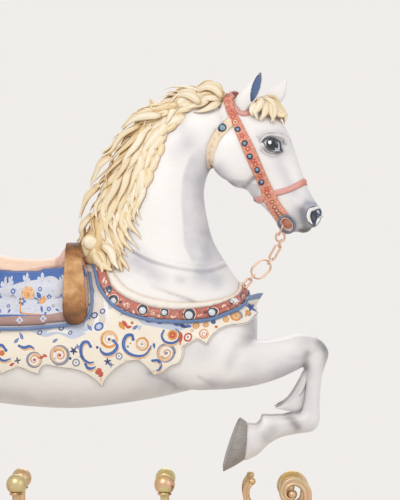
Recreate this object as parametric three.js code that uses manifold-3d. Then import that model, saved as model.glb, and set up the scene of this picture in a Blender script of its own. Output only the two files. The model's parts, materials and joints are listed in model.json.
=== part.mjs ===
// A carved and painted carousel horse, a prancer: its hind hooves stand on a low plinth with gilded
// scrolls along both sides, and its forelegs are tucked up clear of it.
//
// Millimetres, +Z up. The horse faces +X, and its right side, the carved "romance" side, faces -Y.
// The origin is the middle of the plinth's underside.
//
// The horse is one carving: body, neck, head, legs, mane, tail, saddle, cloth, collar and bridle.
// What is set into it or hung on it is a piece of its own: the glass eyes and jewels, the studs, the bit
// rings, the chain rein and the leather strap over the pommel.
import * as THREE from "three";
import { mergeVertices } from "three/addons/utils/BufferGeometryUtils.js";
import Module from "manifold-3d";

const wasm = await Module();
wasm.setup();

// ---- Driving dimensions ----------------------------------------------------------------------------
const GAP = 0.3; // between pieces that touch
const PLINTH = { length: 1456, width: 420, height: 60, corner: 70, step: 12 };
const BARREL = 165; // half the width of the horse's barrel, at its widest
const LEG_OUT = 84; // how far each leg's middle stands from the horse's middle plane
const HIND_STRIDE = 96; // how far forward the left hind hoof is set, past the right one
const CLOTH = 9; // thickness of the carved saddle cloth
const SADDLE = 17; // how far the saddle's side stands off the barrel
const COLLAR = 17; // how far the breast collar stands off the chest
const STRAP = 7; // how far the bridle's straps stand off the head
const LEATHER = 9; // thickness of the leather strap over the pommel
const BEYOND = 320; // a Y that lies outside the horse on either side
const HIP_ROUND = 46; // how far the hind legs' rounded tops swell into the croup
const RELIEF = 1; // line segments for each curve of an outline that is carved in low relief

// ---- Paints and finishes ---------------------------------------------------------------------------
const finish = (color, roughness, metalness = 0) =>
  new THREE.MeshStandardMaterial({ color, roughness, metalness });
const WHITE_PAINT = finish(0xece9e4, 0.45);
const CREAM_PAINT = finish(0xe9dfc8, 0.5);
const GILT = finish(0xd9ad5c, 0.38, 0.8);
const LEATHER_BROWN = finish(0x8f5f2c, 0.6);
const BLACK_GLASS = finish(0x14161a, 0.08);
const BLUE_GLASS = finish(0x4f7f9c, 0.12);
const PEARL = finish(0xd8d6cc, 0.25);
const DARK_IRON = finish(0x4a4d58, 0.5, 0.7);
const ROSE_GOLD = finish(0xd9a779, 0.3, 0.9);

const SIDES = [-1, 1]; // the right side and the left
const sideName = (side) => (side < 0 ? "right" : "left");

// ---- Solids ----------------------------------------------------------------------------------------
/** A closed three.js geometry as a manifold-3d solid, its faces turned to point out. */
function solid(geometry) {
  const bare = new THREE.BufferGeometry().setAttribute("position", geometry.getAttribute("position"));
  if (geometry.index) bare.setIndex(geometry.index);
  const merged = mergeVertices(bare, 1e-3);
  const triVerts = new Uint32Array(merged.index.array);
  const build = () =>
    new wasm.Manifold(
      new wasm.Mesh({ numProp: 3, vertProperties: merged.attributes.position.array, triVerts }),
    );
  const made = build();
  if (made.volume() >= 0) return made;
  for (let i = 0; i < triVerts.length; i += 3)
    [triVerts[i + 1], triVerts[i + 2]] = [triVerts[i + 2], triVerts[i + 1]];
  return build();
}

/** A named mesh with flat faces from a solid. */
function piece(name, made, material) {
  const { numProp, numVert, vertProperties, triVerts } = made.getMesh();
  const points = new Float32Array(numVert * 3);
  for (let i = 0; i < numVert; i++)
    points.set(vertProperties.subarray(i * numProp, i * numProp + 3), i * 3);
  const geometry = new THREE.BufferGeometry();
  geometry.setAttribute("position", new THREE.BufferAttribute(points, 3));
  geometry.setIndex(new THREE.BufferAttribute(triVerts, 1));
  const mesh = new THREE.Mesh(geometry.toNonIndexed(), material);
  mesh.geometry.computeVertexNormals();
  mesh.name = name;
  return mesh;
}

/** Rings of equally many points, joined up and closed with a point at each end. */
function skin(rings, start, end) {
  const n = rings[0].length;
  const points = [...rings.flat(), start, end];
  const [first, last] = [points.length - 2, points.length - 1];
  const index = [];
  for (let r = 0; r + 1 < rings.length; r++)
    for (let i = 0; i < n; i++) {
      const [a, b] = [r * n + i, r * n + ((i + 1) % n)];
      index.push(a, b, a + n, b, b + n, a + n);
    }
  const top = (rings.length - 1) * n;
  for (let i = 0; i < n; i++) {
    index.push(first, (i + 1) % n, i);
    index.push(last, top + i, top + ((i + 1) % n));
  }
  const geometry = new THREE.BufferGeometry().setFromPoints(points);
  geometry.setIndex(index);
  return geometry;
}

// ---- Ribs: the sections that the horse's forms are lofted through -----------------------------------
// A rib is an ellipse across a form. It is given in side view by its two ends, (x, z) at the top or front
// and (x, z) at the bottom or back, with its half width across the horse, the Y of its middle, and egg,
// how much wider it is towards its top end than in the middle (negative is narrower).
const rib = (topX, topZ, bottomX, bottomZ, half, y = 0, egg = 0) => {
  const [dx, dz] = [topX - bottomX, topZ - bottomZ];
  const deep = Math.hypot(dx, dz) / 2;
  const middle = { x: (topX + bottomX) / 2, z: (topZ + bottomZ) / 2 };
  return { ...middle, deep, nx: dx / deep / 2, nz: dz / deep / 2, half, y, egg };
};

const RIB_VALUES = ["x", "z", "deep", "nx", "nz", "half", "y", "egg"];

/** The ribs with `count - 1` more, on a smooth curve, between each two. */
function smoothRibs(ribs, count) {
  const at = (i) => ribs[Math.min(Math.max(i, 0), ribs.length - 1)];
  const made = [];
  for (let i = 0; i + 1 < ribs.length; i++)
    for (let k = 0; k < count; k++) {
      const t = k / count;
      const r = {};
      for (const v of RIB_VALUES) {
        const [p, a, b, q] = [at(i - 1)[v], at(i)[v], at(i + 1)[v], at(i + 2)[v]];
        const [m0, m1] = [(b - p) / 2, (q - a) / 2];
        r[v] = a + t * m0 + t * t * (3 * (b - a) - 2 * m0 - m1) + t * t * t * (2 * (a - b) + m0 + m1);
      }
      const n = Math.hypot(r.nx, r.nz);
      made.push({ ...r, nx: r.nx / n, nz: r.nz / n });
    }
  return [...made, ribs.at(-1)];
}

/** The point of a rib at an angle from its top end, positive towards +Y, `out` mm proud of it. */
function onRib(r, angle, out = 0) {
  const [c, s] = [Math.cos(angle), Math.sin(angle)];
  const up = (r.deep + out) * c;
  const across = (r.half * (1 + r.egg * c) + out) * s;
  return new THREE.Vector3(r.x + r.nx * up, r.y + across, r.z + r.nz * up);
}

/** A rounded end: smaller ribs past `r`, away from `from`, that reach `reach` mm. */
function capRibs(r, from, reach, steps = [0.45, 0.8]) {
  const away = new THREE.Vector2(r.x - from.x, r.z - from.z).normalize();
  return steps.map((share) => {
    const shrink = Math.sqrt(1 - share * share);
    const middle = { x: r.x + away.x * reach * share, z: r.z + away.y * reach * share };
    return { ...r, ...middle, deep: r.deep * shrink, half: r.half * shrink };
  });
}

/** A loft through the ribs, `out` mm proud, with ends rounded to `start` and `end` mm (0 is flat). */
function loft(ribs, sides, { out = 0, start = 0, end = 0 } = {}) {
  const lead = start ? capRibs(ribs[0], ribs[1], start).reverse() : [];
  const tail = end ? capRibs(ribs.at(-1), ribs.at(-2), end) : [];
  const all = [...lead, ...ribs, ...tail];
  const rings = all.map((r) =>
    Array.from({ length: sides }, (_, i) => onRib(r, (2 * Math.PI * i) / sides, out)),
  );
  const tip = (r, from, reach) => {
    const away = new THREE.Vector2(r.x - from.x, r.z - from.z).normalize().multiplyScalar(reach + out);
    return new THREE.Vector3(r.x + away.x, r.y, r.z + away.y);
  };
  const middle = (r) => new THREE.Vector3(r.x, r.y, r.z);
  const first = start ? tip(ribs[0], ribs[1], start) : middle(ribs[0]);
  const last = end ? tip(ribs.at(-1), ribs.at(-2), end) : middle(ribs.at(-1));
  return solid(skin(rings, first, last));
}

const BODY = smoothRibs(
  [
    rib(-660, 759, -678, 600, 0.56 * BARREL),
    rib(-612, 804, -618, 522, 0.8 * BARREL),
    rib(-516, 837, -516, 471, 0.96 * BARREL),
    rib(-396, 843, -396, 444, BARREL),
    rib(-276, 831, -276, 426, BARREL),
    rib(-156, 825, -156, 414, 0.98 * BARREL),
    rib(-36, 843, -36, 411, 0.98 * BARREL),
    rib(84, 867, 99, 426, 0.98 * BARREL),
    rib(219, 849, 219, 447, 0.96 * BARREL),
    rib(339, 810, 324, 471, 0.88 * BARREL),
    rib(429, 765, 420, 489, 0.75 * BARREL),
    rib(477, 723, 471, 549, 0.52 * BARREL),
  ],
  1,
);

const NECK = smoothRibs(
  [
    rib(-12, 849, 474, 675, 138, 0, -0.2),
    rib(-3, 897, 453, 765, 126, 0, -0.25),
    rib(15, 960, 402, 846, 111, 0, -0.3),
    rib(42, 1035, 363, 915, 99, 0, -0.35),
    rib(78, 1125, 342, 999, 87, 0, -0.35),
    rib(129, 1215, 336, 1059, 78, 0, -0.35),
    rib(198, 1287, 345, 1104, 70, 0, -0.3),
    rib(279, 1335, 366, 1140, 63, 0, -0.25),
    rib(360, 1356, 402, 1161, 60, 0, -0.15),
  ],
  1,
);

const HEAD = smoothRibs(
  [
    rib(432, 1359, 360, 1263, 51),
    rib(510, 1323, 363, 1179, 63),
    rib(564, 1278, 384, 1119, 72, 0, 0.05),
    rib(594, 1224, 423, 1077, 70, 0, 0.05),
    rib(610, 1179, 462, 1066, 60),
    rib(627, 1128, 483, 1041, 50),
    rib(645, 1077, 510, 1017, 45),
    rib(668, 1035, 534, 993, 43),
    rib(684, 1008, 561, 957, 44),
    rib(687, 987, 603, 939, 38),
  ],
  1,
);

const SEAT = smoothRibs(
  [
    rib(-429, 858, -429, 700, 70),
    rib(-408, 904, -414, 660, 108),
    rib(-384, 930, -390, 650, 126),
    rib(-348, 904, -354, 640, 131),
    rib(-294, 866, -294, 640, 134),
    rib(-210, 849, -210, 640, 134),
    rib(-126, 850, -126, 640, 134),
    rib(-90, 862, -90, 640, 132),
    rib(-68, 887, -68, 645, 124),
    rib(-36, 888, -36, 655, 116),
    rib(-14, 860, -14, 690, 92),
  ],
  1,
);

/** A foreleg, its knee up and its hoof folded back, `side` -1 for the right one and 1 for the left. */
const foreleg = (side) =>
  [
    [240, 645, 204, 507, 60],
    [366, 672, 324, 468, 74],
    [474, 621, 444, 474, 69],
    [579, 624, 558, 502, 51],
    [624, 634, 615, 528, 45],
    [678, 621, 633, 540, 42],
    [708, 579, 636, 546, 40],
    [690, 516, 634, 504, 32],
    [681, 430, 630, 428, 27],
    [681, 375, 618, 396, 34],
    [663, 346, 600, 398, 34],
    [618, 338, 576, 392, 32],
    [570, 328, 546, 387, 28],
    [528, 306, 516, 381, 30],
    [498, 276, 492, 363, 38],
    [465, 261, 468, 366, 42],
  ].map((r) => rib(...r, side * LEG_OUT));

const forehoof = (side) =>
  [
    [470, 263, 472, 369, 44],
    [393, 225, 444, 378, 57],
  ].map((r) => rib(...r, side * LEG_OUT));

/** The tuft of hair that sweeps back from a fore cannon. */
const foreFeather = (side) =>
  [
    [642, 531, 630, 531, 9],
    [645, 480, 618, 486, 12],
    [645, 444, 585, 449, 14],
    [636, 417, 552, 426, 13],
    [618, 402, 549, 420, 8],
  ].map((r) => rib(...r, side * LEG_OUT));

/** A hind leg; `stride` moves its hoof forward, and what is above it in proportion. */
const hindleg = (side, stride) =>
  [
    [-411, 735, -630, 747, 72],
    [-360, 630, -684, 660, 81],
    [-330, 540, -690, 579, 81],
    [-342, 465, -672, 501, 72],
    [-411, 408, -657, 435, 57],
    [-492, 372, -654, 393, 45],
    [-546, 336, -669, 360, 39],
    [-564, 291, -657, 306, 36],
    [-564, 249, -630, 255, 30],
    [-552, 189, -612, 189, 28],
    [-531, 147, -609, 138, 36],
    [-501, 120, -573, 102, 33],
    [-480, 105, -570, 96, 40],
    [-453, PLINTH.height + GAP, -573, PLINTH.height + GAP, 54],
  ].map(([topX, topZ, bottomX, bottomZ, half]) => {
    const on = (z) => stride * THREE.MathUtils.smoothstep(760 - z, 0, 560);
    return rib(topX + on(topZ), topZ, bottomX + on(bottomZ), bottomZ, half, side * LEG_OUT);
  });

// ---- Outlines in side view, carved out of forms that stand a little proud of the body -----------------
/** A closed outline from runs of [x, z] points: a smooth curve through each run, a corner between two. */
function outline(...runs) {
  const shape = new THREE.Shape();
  shape.moveTo(...runs[0][0]);
  for (const run of runs) {
    if (run.length === 2) shape.lineTo(...run[1]);
    else shape.splineThru(run.slice(1).map((p) => new THREE.Vector2(...p)));
  }
  return shape;
}

/** The solid that an outline in side view sweeps across the horse, from Y `from` to Y `to`. */
function across(shape, from = -BEYOND, to = BEYOND, curveSegments = 2) {
  const made = new THREE.ExtrudeGeometry(shape, { depth: to - from, bevelEnabled: false, curveSegments });
  return solid(made.rotateX(Math.PI / 2).translate(0, to, 0));
}

/** A squashed ball, carved as a swelling or cut as a hollow. */
const bulge = (x, y, z, along, out, up, tilt = 0) =>
  solid(new THREE.SphereGeometry(1, 8, 5).scale(along, out, up).rotateY(tilt).translate(x, y, z));

/** The box of everything between two heights. */
const between = (low, high) =>
  solid(new THREE.BoxGeometry(3000, 3000, high - low).translate(0, 0, (low + high) / 2));

// ---- The horse's bare forms, at any distance proud of the wood ------------------------------------------
const CHEEK = { x: 441, z: 1170, y: 47, long: 88, high: 84, thick: 30 };
const cheek = (side, out) =>
  solid(
    new THREE.SphereGeometry(1, 8, 4)
      .rotateX(Math.PI / 2)
      .scale(CHEEK.long + out, CHEEK.thick + out, CHEEK.high + out)
      .translate(CHEEK.x, side * CHEEK.y, CHEEK.z),
  );

const headForms = (out) => [loft(HEAD, 10, { out, start: 20, end: 12 }), cheek(-1, out), cheek(1, out)];
const neckForms = (out) => [loft(NECK, 10, { out, end: 20 })];
const bodyForms = (out) => [loft(BODY, 14, { out, start: 18, end: 24 })];
const foreForms = (out) => SIDES.map((side) => loft(foreleg(side), 8, { out, start: 30 }));
const hindForms = (out) =>
  SIDES.map((side) => loft(hindleg(side, side > 0 ? HIND_STRIDE : 0), 8, { out, start: HIP_ROUND }));

const join = (forms) => wasm.Manifold.union(forms);

// ---- Saddle, cloth, collar and bridle, carved in relief --------------------------------------------------
const seatForms = (out) => [loft(SEAT, 12, { out, start: 10, end: 10 })];
const FLAP = outline(
  [[-405, 885], [-426, 810], [-429, 750], [-420, 681]],
  [[-420, 681], [-336, 660], [-210, 657], [-126, 663], [-12, 681]],
  [[-12, 681], [-3, 720], [-3, 756], [-12, 810], [-30, 885]],
);
/** What forms have inside an outline in side view, right across the horse. */
const relief = (forms, shape) => join(forms).intersect(across(shape, -BEYOND, BEYOND, RELIEF));
const saddle = join([...seatForms(0), relief(bodyForms(SADDLE), FLAP)]);

const CLOTH_EDGE = outline(
  [[-462, 900], [-489, 765], [-507, 660], [-501, 585]],
  [[-501, 585], [-480, 555], [-459, 522], [-435, 492]],
  [[-435, 492], [-411, 516], [-372, 531], [-300, 534]],
  [[-300, 534], [-279, 531], [-267, 516]],
  [[-267, 516], [-240, 528], [-210, 537], [-183, 525], [-153, 516]],
  [[-153, 516], [-138, 543], [-96, 537], [-36, 528], [3, 507], [33, 483]],
  [[33, 483], [54, 513], [84, 540], [114, 555], [141, 558]],
  [[141, 558], [162, 540], [186, 516]],
  [[186, 516], [213, 522], [240, 540], [264, 549], [276, 573], [276, 597]],
  [[276, 597], [294, 606], [315, 618]],
  [[315, 618], [345, 603]],
  [[345, 603], [360, 627], [396, 654], [447, 663], [474, 684], [500, 722]],
  [
    [500, 722], [420, 722], [354, 697], [291, 691], [234, 691],
    [174, 697], [117, 715], [75, 740], [45, 774], [9, 840],
  ],
  [[9, 840], [-12, 900]],
);
const cloth = relief(
  [...bodyForms(CLOTH), ...neckForms(CLOTH), ...foreForms(CLOTH), ...hindForms(CLOTH)],
  CLOTH_EDGE,
);

const BAND_TOP = [
  [12, 849], [39, 807], [72, 765], [120, 735], [183, 714],
  [246, 708], [309, 711], [372, 723], [429, 747], [500, 786],
];
const BAND_LOW = [
  [520, 765], [453, 723], [414, 702], [354, 681], [294, 675], [234, 675],
  [174, 681], [114, 696], [78, 714], [48, 741], [21, 783], [6, 831],
];
const PAD_TOP = [
  [18, 849], [42, 819], [87, 774], [150, 741], [213, 726],
  [276, 723], [339, 729], [402, 744], [480, 782],
];
const PAD_BACK = 4; // how far the cream pad lies back from the band below it
const BAND = outline(BAND_TOP, [BAND_TOP.at(-1), BAND_LOW[0]], BAND_LOW);
const PAD = outline(PAD_TOP, [PAD_TOP.at(-1), BAND_LOW[0]], BAND_LOW);
const chestForms = (out) => [...bodyForms(out), ...neckForms(out), ...foreForms(out)];
const collar = join([
  relief(chestForms(COLLAR), BAND),
  relief(chestForms(COLLAR - PAD_BACK), PAD),
]);
const FLARE = outline(
  [[453, 762], [477, 752], [507, 754]],
  [[507, 754], [497, 726], [484, 700], [456, 680]],
);
const flare = across(FLARE, -74, 74).intersect(bulge(430, 0, 722, 92, 96, 84));

const CHEEKPIECE = outline(
  [[387, 1375], [399, 1311], [420, 1260], [459, 1164], [498, 1080], [534, 1005], [556, 974]],
  [[556, 974], [590, 990]],
  [[590, 990], [564, 1026], [528, 1095], [489, 1185], [444, 1275], [426, 1311], [417, 1375]],
);
const BROWBAND = outline(
  [[420, 1345], [435, 1311], [453, 1299], [480, 1311], [501, 1345]],
  [[501, 1345], [515, 1338]],
  [[515, 1338], [483, 1296], [453, 1284], [426, 1299]],
);
const THROAT_LATCH = outline(
  [[420, 1293], [369, 1242], [345, 1194], [342, 1155], [351, 1100]],
  [[351, 1100], [372, 1100]],
  [[372, 1100], [363, 1149], [372, 1185], [393, 1224], [432, 1263]],
);
const NOSEBAND = outline(
  [[462, 1032], [510, 1050], [555, 1065], [594, 1077], [650, 1108]],
  [[650, 1108], [652, 1086]],
  [[652, 1086], [597, 1059], [558, 1047], [516, 1032], [470, 1012]],
);
const straps = join(headForms(STRAP)).intersect(
  join([CHEEKPIECE, BROWBAND, NOSEBAND].map((strap) => across(strap, -BEYOND, BEYOND, RELIEF))),
);
const throatLatch = relief([...headForms(STRAP), ...neckForms(STRAP)], THROAT_LATCH);

// ---- Ears ------------------------------------------------------------------------------------------------
const EAR_RIGHT = [
  [486, 1300, 438, 1296, 17, -34],
  [504, 1344, 429, 1341, 16, -44],
  [510, 1374, 456, 1374, 12, -52],
  [510, 1398, 477, 1398, 8, -57],
].map((r) => rib(...r));
const EAR_LEFT = [
  [496, 1338, 528, 1300, 17, 36],
  [528, 1359, 561, 1335, 15, 46],
  [555, 1377, 579, 1359, 12, 53],
].map((r) => rib(...r));
const HOLLOW_RIGHT = [
  [492, 1326, 474, 1324, 10, -60],
  [503, 1350, 480, 1350, 14, -66],
  [508, 1378, 487, 1378, 10, -68],
].map((r) => rib(...r));
const ears = join([
  loft(EAR_RIGHT, 8, { end: 22 }).subtract(loft(HOLLOW_RIGHT, 8, { start: 8, end: 18 })),
  loft(EAR_LEFT, 8, { end: 24 }),
]);

// ---- Locks of mane, forelock and tail --------------------------------------------------------------------
/** A rib partway along a form: u runs from 0 at its first rib to 1 at its last. */
function ribAt(ribs, u) {
  const place = THREE.MathUtils.clamp(u, 0, 1) * (ribs.length - 1);
  const i = Math.min(Math.floor(place), ribs.length - 2);
  const t = place - i;
  return Object.fromEntries(RIB_VALUES.map((v) => [v, ribs[i][v] * (1 - t) + ribs[i + 1][v] * t]));
}

/** A point of the neck: `down` mm from the crest, on the right (side -1) or the left (side 1). */
function onNeck(u, down, side, out) {
  const r = ribAt(NECK, u);
  return onRib(r, side * Math.acos(THREE.MathUtils.clamp(1 - down / r.deep, -1, 1)), out);
}

/** A pointed lock through the points, `wide` and `thick` mm across, its flat side facing `facing`. */
function lock(points, wide, thick, facing, steps = 4) {
  const curve = new THREE.CatmullRomCurve3(points);
  const rings = [];
  for (let k = 1; k < steps; k++) {
    const t = k / steps;
    const along = curve.getTangent(t);
    const wideWay = new THREE.Vector3().crossVectors(along, facing).normalize();
    const thickWay = new THREE.Vector3().crossVectors(wideWay, along).normalize();
    const swell = Math.sin(Math.PI * t ** 0.8) ** 0.8;
    rings.push(
      Array.from({ length: 4 }, (_, i) => {
        const angle = (Math.PI * i) / 2;
        return curve
          .getPoint(t)
          .addScaledVector(wideWay, (wide / 2) * swell * Math.cos(angle))
          .addScaledVector(thickWay, (thick / 2) * swell * Math.sin(angle));
      }),
    );
  }
  return solid(skin(rings, points[0], points.at(-1)));
}

/** A steady number from 0 to 1 for each whole number, so that the locks differ. */
const vary = (i) => Math.abs((Math.sin(i * 12.9898 + 4.1) * 43758.5453) % 1);

/** A row of locks that lie along the neck; each runs `long` of the neck's length towards the withers. */
function maneRow({ count, side, from, to, long, lift, wide, first = 0.97, last = 0.14 }) {
  return Array.from({ length: count }, (_, i) => {
    const u = first + ((last - first) * i) / (count - 1);
    const odd = vary(i + count * 7 + (side > 0 ? 50 : 0));
    const reach = long * (0.85 + 0.4 * odd);
    const steps = [0, 0.35, 0.7, 1].map((t, k) => {
      const down = from + (to - from) * (0.5 + odd) * t ** 1.5;
      return onNeck(u - reach * t, down, side, lift[k] * (0.8 + 0.4 * odd));
    });
    const middle = ribAt(NECK, u - reach / 2);
    const under = (out) => onNeck(u - reach / 2, (from + to) / 2, side, out);
    const facing = under(1).sub(under(0));
    return lock(steps, wide * (0.85 + 0.3 * odd) * (0.8 + middle.deep / 700), wide * 0.55, facing);
  });
}

const maneBed = loft(
  smoothRibs(
    [0.02, 0.2, 0.4, 0.6, 0.8, 0.97].map((u) => {
      const [r, crest] = [ribAt(NECK, u), onRib(ribAt(NECK, u), 0, 0)];
      const deep = 34 + 12 * (1 - u);
      const sunk = deep * 0.55;
      const middle = { x: crest.x - r.nx * sunk, z: crest.z - r.nz * sunk };
      return { ...r, ...middle, deep, half: r.half * 0.62, egg: 0 };
    }),
    1,
  ),
  8,
  { start: 20, end: 20 },
);

const mane = join([
  maneBed,
  ...maneRow({ count: 8, side: -1, from: 4, to: 26, long: 0.2, lift: [-8, 14, 30, 42], wide: 44 }),
  ...maneRow({ count: 6, side: -1, from: 30, to: 84, long: 0.2, lift: [-8, 9, 12, 9], wide: 44 }),
  ...maneRow({
    count: 4,
    side: -1,
    from: 62,
    to: 124,
    long: 0.18,
    lift: [-9, 4, 6, 5],
    wide: 40,
    first: 0.8,
    last: 0.18,
  }),
  ...maneRow({ count: 5, side: 1, from: 26, to: 76, long: 0.22, lift: [-8, 9, 11, 6], wide: 50 }),
]);

const forelock = join(
  [-58, -34, -10, 16, 44].map((degrees, i) => {
    const at = (u, spread, out) => onRib(ribAt(HEAD, u), THREE.MathUtils.degToRad(degrees * spread), out);
    const points = [at(0.02, 0.5, 6), at(0.1, 0.8, 17), at(0.2, 1, 14), at(0.27 + 0.04 * vary(i), 1.15, 7)];
    return lock(points, 34, 18, at(0.12, 0.9, 1).sub(at(0.12, 0.9, 0)));
  }),
);

const TAIL = [
  [-640, 800, -640, 756, 22],
  [-706, 778, -690, 728, 30],
  [-760, 700, -708, 676, 42],
  [-790, 600, -712, 600, 54],
  [-796, 500, -706, 496, 60],
  [-784, 390, -690, 386, 54],
  [-770, 300, -700, 292, 36],
].map((r) => rib(...r));
const tail = join([
  loft(smoothRibs(TAIL, 1), 6, { end: 60 }),
  ...[-1, 0, 1].flatMap((row) =>
    [0, 1].map((i) => {
      const at = (u, dx, out) => {
        const r = ribAt(TAIL, u);
        return new THREE.Vector3(r.x + dx, row * (r.half * 0.62) + row * out, r.z);
      };
      const back = i ? -34 : 22;
      const points = [at(0.3, back * 0.4, 0), at(0.55, back, 10), at(0.8, back * 0.9, 12)];
      points.push(at(1, back * 0.4 - 12, 2));
      points.at(-1).z -= 60 + 30 * vary(i + row * 3 + 9);
      return lock(points, 56, 36, new THREE.Vector3(0, row || -1, 0), 5);
    }),
  ),
]);

// ---- The gilded scroll in front of the pommel ------------------------------------------------------------
const KNOB = { x: -3, z: 894, long: 30, high: 39, half: 62 };
const knobForm = (out) =>
  solid(
    new THREE.CylinderGeometry(1, 1, 2, 10)
      .scale(KNOB.long + out, KNOB.half + out, KNOB.high + out)
      .translate(KNOB.x, 0, KNOB.z),
  );
const knobTail = (side) =>
  loft(
    [
      [12, 900, -10, 868, 20, side * 56],
      [28, 872, -4, 850, 20, side * 68],
      [44, 850, 22, 830, 14, side * 96],
      [60, 832, 50, 822, 8, side * 112],
    ].map((r) => rib(...r)),
    6,
  );
const knobTails = SIDES.flatMap((side) => [knobTail(side), bulge(33, side * 62, 838, 18, 16, 12)]);
const knob = join([knobForm(0), ...knobTails]);

// ---- What is set into the carving or hung on it ----------------------------------------------------------
/** How far from the middle plane a loft's side stands at (x, z), or 0 where it doesn't reach. */
function reachAt(ribs, x, z, out) {
  let found = 0;
  for (let i = 0; i + 1 < ribs.length; i++) {
    const [a, b] = [ribs[i], ribs[i + 1]];
    const [sa, sb] = [a, b].map((r) => (x - r.x) * r.nz - (z - r.z) * r.nx);
    if (sa * sb > 0) continue;
    const r = ribAt([a, b], sa / (sa - sb));
    const k = ((x - r.x) * r.nx + (z - r.z) * r.nz) / (r.deep + out);
    if (Math.abs(k) < 1)
      found = Math.max(found, Math.abs(r.y) + (r.half * (1 + r.egg * k) + out) * Math.sqrt(1 - k * k));
  }
  return found;
}

/** How far from the middle plane the round of the cheek stands at (x, z). */
function cheekReach(x, z, out) {
  const k = ((x - CHEEK.x) / (CHEEK.long + out)) ** 2 + ((z - CHEEK.z) / (CHEEK.high + out)) ** 2;
  return k < 1 ? CHEEK.y + (CHEEK.thick + out) * Math.sqrt(1 - k) : 0;
}

/** The point at (x, z) of the side that `reach` gives, and the direction that it faces there. */
function seat(reach, x, z, side) {
  const facing = new THREE.Vector3(
    (reach(x - 4, z) - reach(x + 4, z)) / 8,
    side,
    (reach(x, z - 4) - reach(x, z + 4)) / 8,
  ).normalize();
  return { point: new THREE.Vector3(x, side * reach(x, z), z), facing };
}

/** A lathe-turned piece with its axis along `facing` and its seat at `point`. */
function turned(profile, segments, { point, facing }) {
  const turn = new THREE.Quaternion().setFromUnitVectors(new THREE.Vector3(0, 1, 0), facing);
  return new THREE.LatheGeometry(
    profile.map((p) => new THREE.Vector2(...p)),
    segments,
  )
    .applyQuaternion(turn)
    .translate(point.x, point.y, point.z);
}

const fittings = []; // { name, made, material }
const sockets = [];

/** A domed jewel or stud of radius `r`, seated on the carving. */
function inlay(name, r, rise, place, material, segments = 8) {
  const dome = [[0, GAP], [r, GAP], [r * 0.8, rise * 0.7], [0, rise]];
  fittings.push({ name, made: solid(turned(dome, segments, place)), material });
}

const STUDS = [
  [68, 734, 12],
  [154, 706, 12.5],
  [218, 699, 10],
  [291, 692, 14],
  [359, 700, 12.5],
];
const CABOCHONS = [
  [437, 1244],
  [457, 1202],
  [472, 1164],
  [494, 1125],
  [508, 1089],
];
for (const side of SIDES) {
  const collarSide = (x, z) =>
    Math.max(...[BODY, NECK, foreleg(side)].map((ribs) => reachAt(ribs, x, z, COLLAR)));
  const headSide = (x, z) => Math.max(reachAt(HEAD, x, z, STRAP), cheekReach(x, z, STRAP));
  const neckTop = [...NECK, ...capRibs(NECK.at(-1), NECK.at(-2), 20)];
  const throatSide = (x, z) => Math.max(headSide(x, z), reachAt(neckTop, x, z, STRAP));
  STUDS.forEach(([x, z, r], i) =>
    inlay(`collar_stud_${sideName(side)}_${i + 1}`, r, 6, seat(collarSide, x, z, side), PEARL),
  );
  inlay(`collar_diamond_${sideName(side)}`, 10, 4, seat(collarSide, 417, 731, side), PEARL, 4);
  inlay(`collar_gem_${sideName(side)}`, 7, 4, seat(collarSide, 55, 764, side), BLUE_GLASS, 6);
  CABOCHONS.forEach(([x, z], i) =>
    inlay(`bridle_gem_${sideName(side)}_${i + 1}`, 6.5, 4, seat(headSide, x, z, side), BLUE_GLASS, 6),
  );
  const throat = seat(throatSide, 391, 1250, side);
  throat.point.y += side * 5;
  inlay(`throat_gem_${sideName(side)}`, 10.5, 5, throat, BLUE_GLASS);
}

// Glass eyes, each in a socket under its brow
const EYE = { x: 540, z: 1197, y: 58, r: 19 };
const eyeBall = (side, out) =>
  solid(new THREE.SphereGeometry(EYE.r + out, 8, 6).translate(EYE.x, side * EYE.y, EYE.z));
for (const side of SIDES) {
  fittings.push({ name: `eye_${sideName(side)}`, made: eyeBall(side, 0), material: BLACK_GLASS });
  sockets.push(eyeBall(side, GAP + 0.2));
}

/** A chain link of round wire in the XZ plane: two half circles of radius `wide` joined by straights. */
function hoop(long, wide, wire, bends, sides) {
  const middles = [];
  for (const way of [1, -1])
    for (let i = 0; i <= bends; i++) {
      const a = (way > 0 ? -Math.PI / 2 : Math.PI / 2) + (Math.PI * i) / bends;
      const outward = new THREE.Vector3(Math.cos(a), 0, Math.sin(a));
      const end = new THREE.Vector3(way * (long - wide), 0, 0);
      middles.push([end.addScaledVector(outward, wide), outward]);
    }
  const points = [];
  const index = [];
  middles.forEach(([middle, outward], i) => {
    for (let k = 0; k < sides; k++) {
      const a = (2 * Math.PI * k) / sides;
      const sideways = new THREE.Vector3(0, wire * Math.sin(a), 0);
      points.push(sideways.add(middle).addScaledVector(outward, wire * Math.cos(a)));
      const [p, q, next] = [i * sides, ((i + 1) % middles.length) * sides, (k + 1) % sides];
      index.push(p + k, p + next, q + k, p + next, q + next, q + k);
    }
  });
  return new THREE.BufferGeometry().setFromPoints(points).setIndex(index);
}

// The bit rings lie flat against the jaw. From each a chain rein runs down to the front of the collar: flat
// links, each held to the one before by a smaller connector that stands edge-on.
const BIT = { x: 583, z: 962, long: 26, wide: 19, wire: 4.5, tilt: -0.9, y: 49 };
const WIRE = 2.6;
const REIN = [
  { x: 566.5, z: 945.6, y: 49, name: "snap", wide: 13 },
  { x: 564, z: 905, y: 47, name: "long_link", wide: 8 },
  { x: 534, z: 852, y: 44, name: "ring", wide: 21 },
  { x: 480, z: 803, y: 40, name: "end_link", wide: 7 },
  { x: 455, z: 774, y: 37 },
];
const HOLD = 4.6; // from a connector's middle to the wire of the link that it holds
const CONNECTOR = { long: 11.5, wide: 7.5, wire: 2.1 };
const TOP_CONNECTOR = { long: 17, wide: 9.5, wire: 2.3 };

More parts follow.
